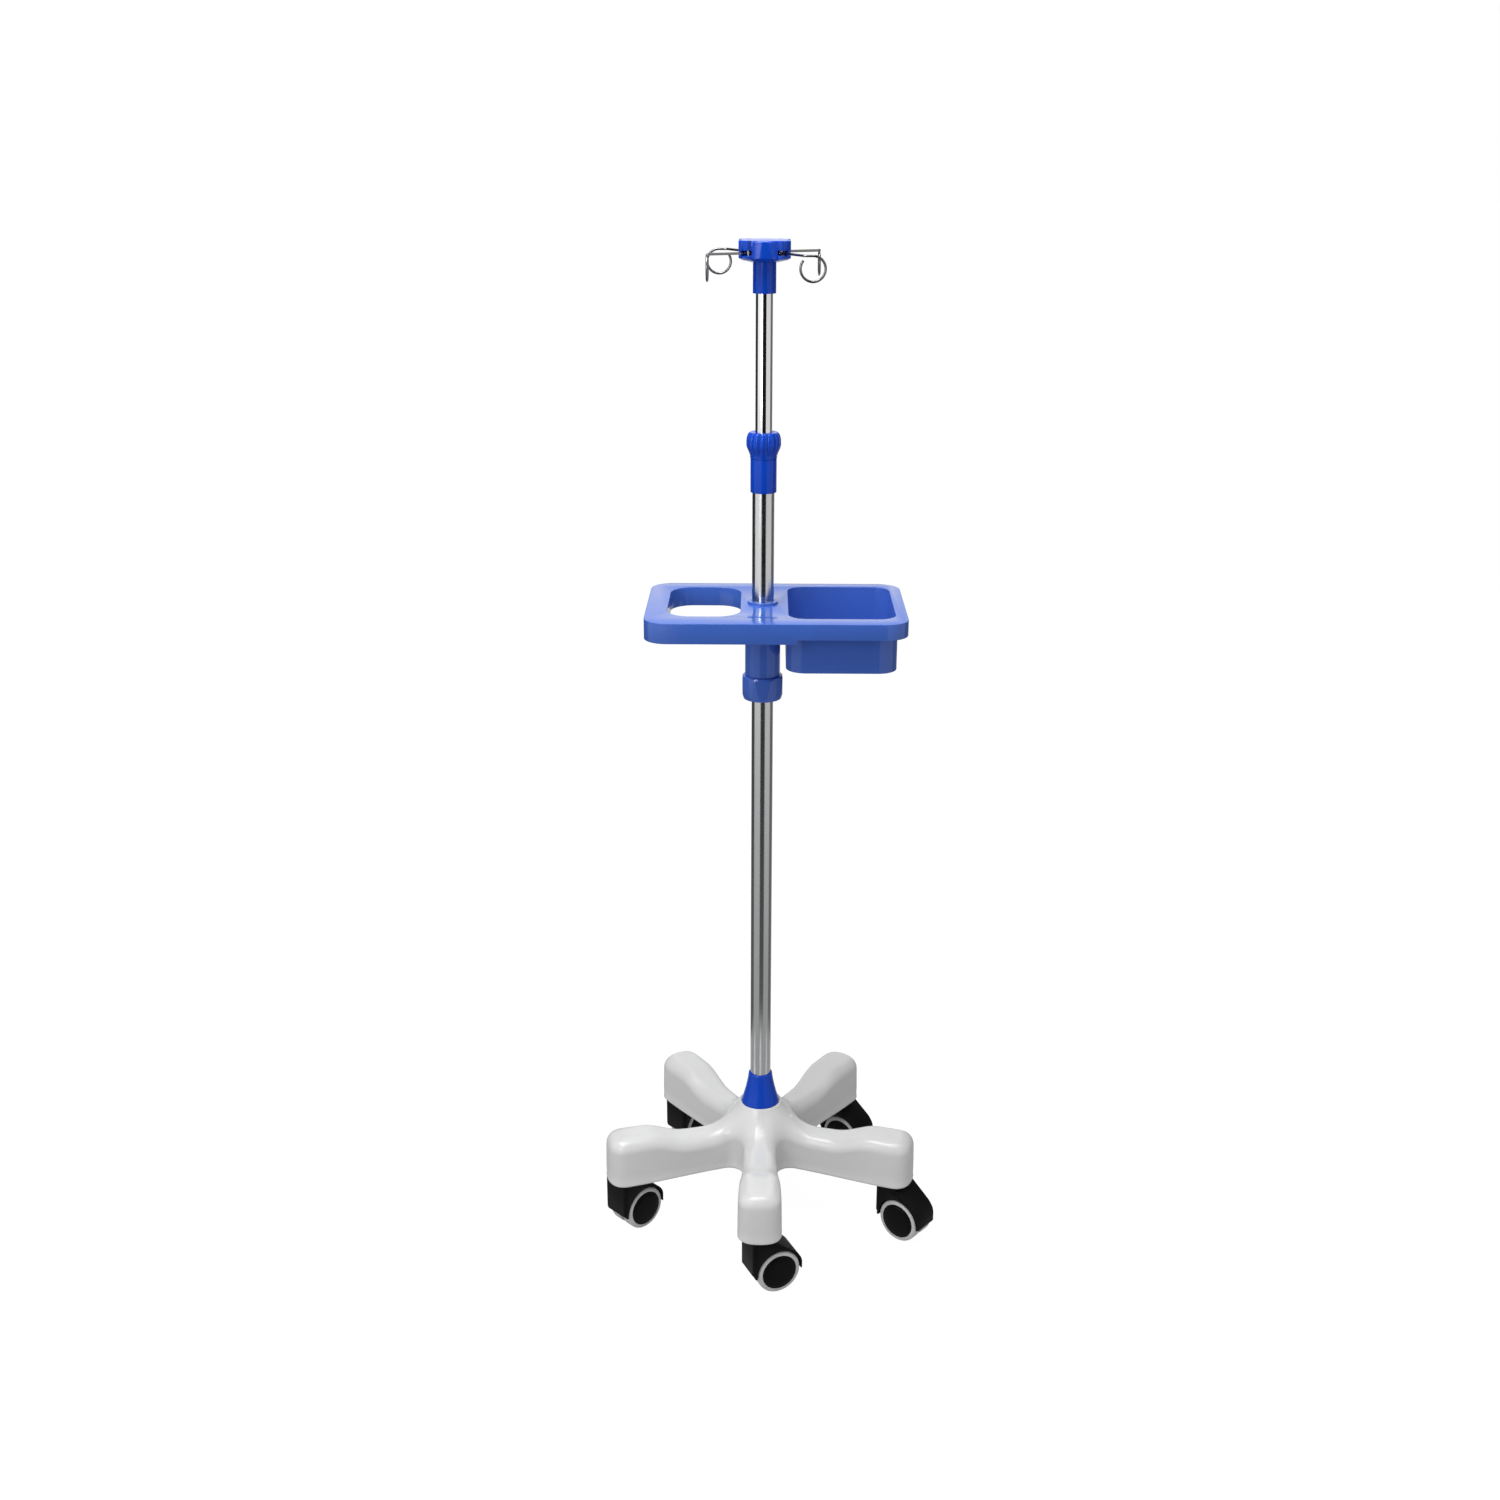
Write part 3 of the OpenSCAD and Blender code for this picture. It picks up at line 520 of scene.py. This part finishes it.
class DripStandLock(bpy.types.PropertyGroup):
    """Sizes of the twist lock."""

    sleeve_radius: FloatProperty(name="Sleeve radius", description="Plain sleeve on the lower tube",
                                 default=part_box("lock_sleeve")[1].x, unit="LENGTH")
    knob_radius: FloatProperty(name="Knob radius", description="Widest radius of the knob",
                               default=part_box("lock_knob")[1].x, unit="LENGTH")
    flutes: IntProperty(name="Flutes", description="Grooves round the knob", default=12, min=3, max=40)
    flute_depth: FloatProperty(name="Flute depth", description="Depth of a groove", default=0.0016, unit="LENGTH")


def flute_tree():
    """Pushes a turned skin inwards in equal grooves, as deep as its flute attribute asks."""
    found = bpy.data.node_groups.get("flutes")
    if found:
        return found
    tree, start = new_tree("flutes", [("Flutes", "NodeSocketInt", 12), ("Depth", "NodeSocketFloat", 0.0015),
                                      ("Material", "NodeSocketMaterial", None)])
    place = add_node(tree, "GeometryNodeInputPosition")
    axes = add_node(tree, "ShaderNodeSeparateXYZ", links={"Vector": (place, "Position")})
    angle = add_node(tree, "ShaderNodeMath", links={0: (axes, "Y"), 1: (axes, "X")}, operation="ARCTAN2")
    half = add_node(tree, "ShaderNodeMath", {1: 0.5}, {0: (start, "Flutes")}, operation="MULTIPLY")
    turns = add_node(tree, "ShaderNodeMath", links={0: (angle, "Value"), 1: (half, "Value")}, operation="MULTIPLY")
    lobes = add_node(tree, "ShaderNodeMath", links={0: (turns, "Value")}, operation="COSINE")
    ridge = add_node(tree, "ShaderNodeMath", links={0: (lobes, "Value")}, operation="ABSOLUTE")
    groove = add_node(tree, "ShaderNodeMath", {0: 1.0}, {1: (ridge, "Value")}, operation="SUBTRACT")
    sharp = add_node(tree, "ShaderNodeMath", {1: 1.6}, {0: (groove, "Value")}, operation="POWER")
    weight = add_node(tree, "GeometryNodeInputNamedAttribute", {"Name": "flute"}, data_type="FLOAT")
    deep = add_node(tree, "ShaderNodeMath", links={0: (sharp, "Value"), 1: (weight, "Attribute")}, operation="MULTIPLY")
    push = add_node(tree, "ShaderNodeMath", links={0: (deep, "Value"), 1: (start, "Depth")}, operation="MULTIPLY")
    level = add_node(tree, "ShaderNodeVectorMath", {1: (-1, -1, 0)}, {0: (place, "Position")}, operation="MULTIPLY")
    inward = add_node(tree, "ShaderNodeVectorMath", links={0: (level, "Vector")}, operation="NORMALIZE")
    offset = add_node(tree, "ShaderNodeVectorMath", links={0: (inward, "Vector"), "Scale": (push, "Value")},
                      operation="SCALE")
    moved = add_node(tree, "GeometryNodeSetPosition",
                     links={"Geometry": (start, "Geometry"), "Offset": (offset, "Vector")})
    real = add_node(tree, "GeometryNodeRealizeInstances", links={"Geometry": (moved, "Geometry")})
    painted = add_node(tree, "GeometryNodeSetMaterial",
                       links={"Geometry": (real, "Geometry"), "Material": (start, "Material")})
    add_node(tree, "NodeGroupOutput", links={"Geometry": (painted, "Geometry")})
    return tree


def fluted(name, profile, weights, flutes, depth, material, sides):
    """A turned piece with grooves; weights gives each profile point its share of the depth."""
    mesh = turned(name, profile, sides)
    attribute = mesh.attributes.new("flute", "FLOAT", "POINT")
    for k, vertex in enumerate(mesh.vertices):
        attribute.data[k].value = weights(vertex.co)
    values = {"Flutes": flutes, "Depth": depth, "Material": material}
    return run_tree(name, mesh, flute_tree(), values)


class DRIPSTAND_OT_pole(bpy.types.Operator):
    """Makes both tubes, the twist lock and its knob"""

    bl_idname = "dripstand.pole"
    bl_label = "Pole and lock"

    def execute(self, context):
        paint = finishes(context.scene)
        lock = context.scene.drip_lock
        for node, name, finish, slot, body, wall in (
                ("outer_tube", "lower_tube", "satin_steel_tube", "satin_tube", "stand", 0.0012),
                ("inner_tube", "mast_tube", "chromed_steel_tube", "chrome_tube", "mast", 0.0012)):
            low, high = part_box(node)
            ring = [(high.x, low.z), (high.x, high.z), (high.x - wall, high.z), (high.x - wall, low.z)]
            finish_piece(name, turned(name, rounded(ring, 0.0004, 3), 128), paint[finish], body, slot, node)
        blue = paint["moulded_abs_royal_blue"]
        low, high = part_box("lock_sleeve")
        knob_low, knob_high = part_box("lock_knob")
        r, inner = lock.sleeve_radius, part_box("outer_tube")[1].x + 0.00005
        bore = inner - 0.0012
        thread = r - 0.0009
        ring = [(inner, low.z), (r, low.z), (r, knob_low.z - 0.0004), (thread, knob_low.z - 0.0004),
                (thread, high.z), (bore, high.z), (bore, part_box("outer_tube")[1].z), (inner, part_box("outer_tube")[1].z)]
        finish_piece("lock_sleeve_skin", turned("lock_sleeve_skin", rounded(ring, 0.0007), 96), blue, "stand",
                     "blue_plastic", "lock_sleeve")
        # The knob swells from the sleeve, is widest two thirds of the way up, and rolls over at its top
        height = knob_high.z - knob_low.z
        wide, foot = lock.knob_radius, r + 0.0003
        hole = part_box("inner_tube")[1].x + 0.0003
        outer = [(foot, knob_low.z), (foot + 0.0001, knob_low.z + 0.0008)]
        outer += [(foot + (wide - foot) * ease(k / 14), knob_low.z + 0.001 + 0.5 * height * k / 14) for k in range(1, 15)]
        outer += [(wide - 0.0044 * (1 - math.cos(math.radians(9 * k))),
                   knob_low.z + height * (0.62 + 0.38 * math.sin(math.radians(9 * k)))) for k in range(1, 11)]
        cavity = max(thread + 0.0003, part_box("lock_collet")[1].x + 0.0003)
        roof = knob_high.z - 0.0032
        inside = [(hole + 0.0008, knob_high.z), (hole, knob_high.z - 0.0008), (hole, roof), (cavity, roof),
                  (cavity, knob_low.z)]

        def groove(p):
            t = (p.z - knob_low.z) / height
            if math.hypot(p.x, p.y) < cavity + 0.001 or t > 0.985:
                return 0.0
            return ease(t / 0.45)

        knob = fluted("lock_knob_skin", outer + inside, groove, lock.flutes, lock.flute_depth, blue, 192)
        finish_piece("lock_knob_skin", knob, blue, "lock_knob", "blue_plastic", "lock_knob", smooth_angle=55)
        for node in ("lock_collet", "mast_guide"):
            soften(node, paint["nylon_bushing"], 0.0003)
        return {"FINISHED"}


# ---- head and hooks ----


class DripStandHooks(bpy.types.PropertyGroup):
    """Sizes of the bent-wire hooks."""

    wire_radius: FloatProperty(name="Wire radius", description="Half the wire's thickness", default=0.0014, unit="LENGTH")
    ring_radius: FloatProperty(name="Ring radius", description="Ring, to the middle of the wire", default=0.013,
                               unit="LENGTH")
    ring_reach: FloatProperty(name="Ring reach", description="Stand's axis to a ring's middle", default=0.078,
                              unit="LENGTH")
    pin_radius: FloatProperty(name="Pin radius", description="Pin that a hook swings on", default=0.002, unit="LENGTH")


def wire_tree():
    """Sweeps a round wire along a line of points."""
    found = bpy.data.node_groups.get("bent_wire")
    if found:
        return found
    tree, start = new_tree("bent_wire", [("Radius", "NodeSocketFloat", 0.0014), ("Sides", "NodeSocketInt", 16),
                                         ("Material", "NodeSocketMaterial", None)])
    line = add_node(tree, "GeometryNodeMeshToCurve", links={"Mesh": (start, "Geometry")})
    bent = add_node(tree, "GeometryNodeCurveSplineType", links={"Curve": (line, "Curve")}, spline_type="CATMULL_ROM")
    fine = add_node(tree, "GeometryNodeSetSplineResolution", {"Resolution": 3}, {"Geometry": (bent, "Curve")})
    section = add_node(tree, "GeometryNodeCurvePrimitiveCircle",
                       links={"Resolution": (start, "Sides"), "Radius": (start, "Radius")})
    swept = add_node(tree, "GeometryNodeCurveToMesh", {"Fill Caps": True},
                     {"Curve": (fine, "Geometry"), "Profile Curve": (section, "Curve")})
    real = add_node(tree, "GeometryNodeRealizeInstances", links={"Geometry": (swept, "Mesh")})
    painted = add_node(tree, "GeometryNodeSetMaterial",
                       links={"Geometry": (real, "Geometry"), "Material": (start, "Material")})
    add_node(tree, "NodeGroupOutput", links={"Geometry": (painted, "Geometry")})
    return tree


def hook_line(size, joint, turn_deg=45, lead_deg=-5, sweep_deg=310):
    """The middle line of a hook: an open eye round its pin, the arm, and a ring turned beside its lug."""
    pin = Vector(joint["pos_m"])
    azimuth = math.atan2(pin.y, pin.x)
    at, z = math.hypot(pin.x, pin.y), pin.z
    lead, turn = math.radians(lead_deg), math.radians(turn_deg)
    u = Vector((math.cos(turn), math.sin(turn)))
    top = size.ring_reach * Vector((math.cos(lead), math.sin(lead)))
    bend = top - 0.009 * u
    eye = size.pin_radius + size.wire_radius + 0.00025
    line = []
    for k in range(14):
        a = math.radians(70 + 261 * k / 13)
        line.append((at + eye * math.cos(a), eye * math.sin(a), z))
    eye_out = Vector((at + eye, 0))
    for k in range(8):
        p = eye_out.lerp(bend, 0.12 + 0.85 * k / 7)
        line.append((p.x, p.y, z))
    for step in (0.0024, 0.0055):
        p = bend + step * u
        line.append((p.x, p.y, z))
    for k in range(37):
        a = math.radians(90 - sweep_deg * k / 36)
        p = top + size.ring_radius * math.cos(a) * u
        line.append((p.x, p.y, z - size.ring_radius + size.ring_radius * math.sin(a)))
    spin = Matrix.Rotation(azimuth, 3, "Z")
    return [spin @ Vector(p) for p in line]


class DRIPSTAND_OT_head(bpy.types.Operator):
    """Makes the head, its pins and screw, and the four ring hooks"""

    bl_idname = "dripstand.head"
    bl_label = "Head and hooks"

    def execute(self, context):
        paint = finishes(context.scene)
        size = context.scene.drip_hooks
        soften("hook_head", paint["moulded_abs_royal_blue"], 0.0011, segments=3)
        for node in ("hook_pins", "head_screw"):
            soften(node, paint["zinc_plated_steel"], 0.0003)
        for i in range(1, HOOKS + 1):
            line = hook_line(size, JOINTS[f"hook_{i}_swing"])
            path = bpy.data.meshes.new(f"hook_line_{i}")
            path.from_pydata([tuple(p) for p in line], [(k, k + 1) for k in range(len(line) - 1)], [])
            values = {"Radius": size.wire_radius - 0.00002, "Sides": 16, "Material": paint["chromed_hook_wire"]}
            wire = run_tree(f"ring_hook_{i}", path, wire_tree(), values)
            finish_piece(f"ring_hook_{i}", wire, paint["chromed_hook_wire"], f"hook_{i}", "hook_wire", f"hook_{i}",
                         smooth_angle=60)
        return {"FINISHED"}


# ---- tray ----


class DRIPSTAND_OT_tray(bpy.types.Operator):
    """Finishes the tray, its clamp sleeve and its nut"""

    bl_idname = "dripstand.tray"
    bl_label = "Tray"

    def execute(self, context):
        paint = finishes(context.scene)
        soften("tray", paint["moulded_abs_tray_blue"], 0.0012, segments=3)
        soften("tray_nut", paint["moulded_abs_tray_blue"], 0.0008)
        soften("tray_collet", paint["nylon_bushing"], 0.0003)
        return {"FINISHED"}


# ---- casters ----


class DripStandCasters(bpy.types.PropertyGroup):
    """Sizes of the twin-wheel casters."""

    wheel_radius: FloatProperty(name="Wheel radius", description="Over the tread", default=0.027, unit="LENGTH")
    cap_radius: FloatProperty(name="Cap radius", description="Black cap inside the tread", default=0.0215, unit="LENGTH")
    inner_face: FloatProperty(name="Inner face", description="Caster's middle to a wheel", default=0.0039, unit="LENGTH")
    outer_face: FloatProperty(name="Outer face", description="Caster's middle to a tread's outer face", default=0.0179,
                              unit="LENGTH")
    dome: FloatProperty(name="Cap dome", description="How far the cap swells past the tread", default=0.0026,
                        unit="LENGTH")


class DRIPSTAND_OT_casters(bpy.types.Operator):
    """Makes the treads and capped wheels, and finishes the hoods and axles"""

    bl_idname = "dripstand.casters"
    bl_label = "Casters"

    def execute(self, context):
        paint = finishes(context.scene)
        size = context.scene.drip_casters
        cap, wide, near, far = size.cap_radius, size.wheel_radius, size.inner_face, size.outer_face
        tread = [(cap, near), (wide - 0.0015, near), (wide - 0.0004, near + 0.0005), (wide, near + 0.0015),
                 (wide, far - 0.0030), (wide - 0.0003, far - 0.0018), (wide - 0.0012, far - 0.0007),
                 (wide - 0.0026, far), (cap + 0.0006, far), (cap, far - 0.0006)]
        disc = [(0, near), (cap, near), (cap, far - 0.0003), (cap - 0.0004, far + 0.0003), (cap - 0.0016, far + 0.0006),
                (cap - 0.0022, far + 0.0004), (cap - 0.0026, far + 0.0007)]
        disc += [((cap - 0.0028) * math.cos(math.radians(5 + 85 * k / 12)),
                  far + 0.0009 + (size.dome - 0.0009) * math.sin(math.radians(5 + 85 * k / 12))) for k in range(12)]
        disc.append((0, far + size.dome))
        for i in range(1, LEGS + 1):
            soften(f"caster_hood_{i}", paint["glass_filled_nylon_black"], 0.0008, segments=2)
            soften(f"caster_axle_{i}", paint["zinc_plated_steel"], 0.0003)
            for side, letter in ((-1, "a"), (1, "b")):
                joint = JOINTS[f"wheel_{i}{letter}_spin"]
                axis = side * Vector(joint["axis"])
                matrix = Matrix.Translation(joint["pos_m"]) @ axis.to_track_quat("Z", "Y").to_matrix().to_4x4()
                body = f"wheel_{i}{letter}"
                finish_piece(f"tread_{i}{letter}", turned(f"tread_{i}{letter}", tread, 72, matrix),
                             paint["rubber_tread_grey"], body, "grey_tread", f"tyre_{i}{letter}")
                finish_piece(f"wheel_cap_{i}{letter}", turned(f"wheel_cap_{i}{letter}", disc, 72, matrix),
                             paint["wheel_cap_black"], body, "black_plastic", f"wheel_{i}{letter}")
        return {"FINISHED"}


# ---- stage ----


class DripStandStage(bpy.types.PropertyGroup):
    """The camera and the light."""

    camera_distance: FloatProperty(name="Camera distance", description="In front of the pole", default=1.933, unit="LENGTH")
    camera_height: FloatProperty(name="Camera height", description="Above the floor", default=1.284, unit="LENGTH")
    camera_tilt: FloatProperty(name="Camera tilt", description="Below the horizon", default=math.radians(19.108),
                               subtype="ANGLE")
    camera_roll: FloatProperty(name="Camera roll", description="Lean of the frame", default=math.radians(0.30),
                               subtype="ANGLE")
    focal_length: FloatProperty(name="Focal length", description="For a 36 mm sensor, in millimetres",
                                default=42.024)
    top_light: FloatProperty(name="Top light", description="Power of the overhead softbox", default=60.0, unit="POWER")
    front_light: FloatProperty(name="Front light", description="Power of the front softbox", default=7.0, unit="POWER")
    card_distance: FloatProperty(name="Card distance", description="Pole's axis to the reflector cards", default=0.42,
                                 unit="LENGTH")


def area_light(name, place, aim, width, height, power, tint=(1, 1, 1)):
    lamp = bpy.data.lights.new(name, "AREA")
    lamp.shape = "RECTANGLE"
    lamp.size, lamp.size_y = width, height
    lamp.energy = power
    lamp.color = tint
    holder = bpy.data.objects.new(name, lamp)
    holder.location = place
    holder.rotation_euler = (Vector(aim) - Vector(place)).to_track_quat("-Z", "Y").to_euler()
    bpy.context.scene.collection.objects.link(holder)
    return holder


def seen_directly(tree):
    """1 for camera, mirror and see-through rays, and 0 for the light that reaches matt surfaces."""
    path = add_node(tree, "ShaderNodeLightPath")
    both = add_node(tree, "ShaderNodeMath", links={0: (path, "Is Camera Ray"), 1: (path, "Is Glossy Ray")},
                    operation="MAXIMUM")
    return add_node(tree, "ShaderNodeMath", links={0: (both, "Value"), 1: (path, "Is Transmission Ray")},
                    operation="MAXIMUM")


class DRIPSTAND_OT_stage(bpy.types.Operator):
    """Makes the floor, the studio's cards and lights, and the camera"""

    bl_idname = "dripstand.stage"
    bl_label = "Stage"

    def execute(self, context):
        scene = context.scene
        look = scene.drip_stage
        scene.view_settings.view_transform = "Standard"

        # A pale floor that shows as white and still takes the stand's soft shadow. Polished metal sees it
        # grey near the stand and white far off, so the tubes darken towards the floor.
        material, tree = new_material("studio_floor_white")
        direct = seen_directly(tree)
        share = add_node(tree, "ShaderNodeMath", {1: 0.85}, {0: (direct, "Value")}, operation="MULTIPLY")
        matt = add_node(tree, "ShaderNodeBsdfDiffuse", {"Color": (0.6, 0.6, 0.6, 1)})
        white = add_node(tree, "ShaderNodeEmission", {"Color": (1, 1, 1, 1), "Strength": 1.14})
        place = add_node(tree, "ShaderNodeTexCoord")
        away = add_node(tree, "ShaderNodeVectorMath", links={0: (place, "Object")}, operation="LENGTH")
        fade = add_node(tree, "ShaderNodeMapRange", {"From Min": 0.4, "From Max": 4.5, "To Min": 0.36, "To Max": 1.0},
                        {"Value": (away, "Value")})
        grey = add_node(tree, "ShaderNodeEmission", {"Color": (1, 1, 1, 1)}, {"Strength": (fade, "Result")})
        path = add_node(tree, "ShaderNodeLightPath")
        glow = add_node(tree, "ShaderNodeMixShader",
                        links={0: (path, "Is Glossy Ray"), 1: (white, 0), 2: (grey, 0)})
        mixed = add_node(tree, "ShaderNodeMixShader", links={0: (share, "Value"), 1: (matt, 0), 2: (glow, 0)})
        finish_material(tree, mixed)
        ground = mesh_of("floor", [(-40, -40, 0), (40, -40, 0), (40, 40, 0), (-40, 40, 0)], [(0, 1, 2, 3)])
        ground.materials.append(material)
        floor = bpy.data.objects.new("floor", ground)
        scene.collection.objects.link(floor)

        # Dark and grey cards stand round the set, lighter near the floor; only shiny surfaces see them.
        # Each has its azimuth and spread in degrees, and its glow at the floor and at head height.
        for name, centre, spread, low, high in (("card_front", 5, 46, 0.10, 0.010), ("card_left", -120, 62, 0.12, 0.03),
                                                ("card_right", 116, 52, 0.16, 0.14), ("card_pale", 60, 60, 0.40, 0.72)):
            card, tree = new_material(name)
            place = add_node(tree, "ShaderNodeTexCoord")
            axes = add_node(tree, "ShaderNodeSeparateXYZ", links={"Vector": (place, "Object")})
            glow = add_node(tree, "ShaderNodeMapRange", {"From Min": 0.1, "From Max": 0.8, "To Min": low, "To Max": high},
                            {"Value": (axes, "Z")})
            finish_material(tree, add_node(tree, "ShaderNodeEmission", links={"Strength": (glow, "Result")}))
            points = []
            for k in range(13):
                a = math.radians(-90 + centre + spread * (k / 12 - 0.5))
                points += [(look.card_distance * math.cos(a), look.card_distance * math.sin(a), z) for z in (0.001, 2.6)]
            faces = [(2 * k, 2 * k + 2, 2 * k + 3, 2 * k + 1) for k in range(12)]
            mesh = bpy.data.meshes.new(name)
            mesh.from_pydata(points, [], faces)
            mesh.materials.append(card)
            screen = bpy.data.objects.new(name, mesh)
            screen.visible_camera = False
            screen.visible_diffuse = False
            screen.visible_shadow = False
            screen.visible_transmission = False
            scene.collection.objects.link(screen)

        world = bpy.data.worlds.new("studio")
        scene.world = world
        world.use_nodes = True
        tree = world.node_tree
        tree.nodes.clear()
        seen = seen_directly(tree)
        white = add_node(tree, "ShaderNodeBackground", {"Color": (1, 1, 1, 1), "Strength": 1.0})
        soft = add_node(tree, "ShaderNodeBackground", {"Color": (1, 1, 1, 1), "Strength": 0.36})
        both = add_node(tree, "ShaderNodeMixShader", links={0: (seen, "Value"), 1: (soft, 0), 2: (white, 0)})
        add_node(tree, "ShaderNodeOutputWorld", links={"Surface": (both, 0)})

        area_light("softbox_top", (-0.35, -0.5, 2.9), (0, 0, 0.4), 1.6, 1.6, look.top_light)
        area_light("softbox_front", (-1.0, -1.6, 1.45), (0, 0, 0.85), 0.6, 1.0, look.front_light)

        camera = bpy.data.cameras.new("camera")
        camera.sensor_width = 36
        camera.lens = look.focal_length
        camera.shift_x = -12.1 / 1500
        camera.clip_end = 200
        holder = bpy.data.objects.new("camera", camera)
        holder.matrix_world = (Matrix.Translation((0, -look.camera_distance, look.camera_height))
                               @ Matrix.Rotation(math.pi / 2 - look.camera_tilt, 4, "X")
                               @ Matrix.Rotation(look.camera_roll, 4, "Z"))
        scene.collection.objects.link(holder)
        scene.camera = holder
        return {"FINISHED"}


class DRIPSTAND_PT_panel(bpy.types.Panel):
    """Lists the stand's pieces"""

    bl_idname = "DRIPSTAND_PT_panel"
    bl_label = "Drip Stand"
    bl_space_type = "VIEW_3D"
    bl_region_type = "UI"
    bl_category = "Drip Stand"

    def draw(self, context):
        for operator in STEPS:
            self.layout.operator(operator.bl_idname)
        for name in GROUPS:
            box = self.layout.box()
            group = getattr(context.scene, name)
            for key in group.bl_rna.properties.keys():
                if key not in ("rna_type", "name"):
                    box.prop(group, key)


STEPS = (DRIPSTAND_OT_base, DRIPSTAND_OT_pole, DRIPSTAND_OT_head, DRIPSTAND_OT_tray, DRIPSTAND_OT_casters,
         DRIPSTAND_OT_stage)
GROUPS = {"drip_base": DripStandBase, "drip_finish": DripStandFinish, "drip_lock": DripStandLock,
          "drip_hooks": DripStandHooks, "drip_casters": DripStandCasters, "drip_stage": DripStandStage}


def register():
    for kind in (*GROUPS.values(), *STEPS, DRIPSTAND_PT_panel):
        bpy.utils.register_class(kind)
    for name, kind in GROUPS.items():
        setattr(bpy.types.Scene, name, PointerProperty(type=kind))


def unregister():
    for name in GROUPS:
        delattr(bpy.types.Scene, name)
    for kind in (DRIPSTAND_PT_panel, *STEPS, *GROUPS.values()):
        bpy.utils.unregister_class(kind)


def main():
    register()
    bpy.ops.dripstand.base()
    bpy.ops.dripstand.pole()
    bpy.ops.dripstand.head()
    bpy.ops.dripstand.tray()
    bpy.ops.dripstand.casters()
    bpy.ops.dripstand.stage()
    bpy.context.view_layer.update()


if __name__ == "__main__":
    main()
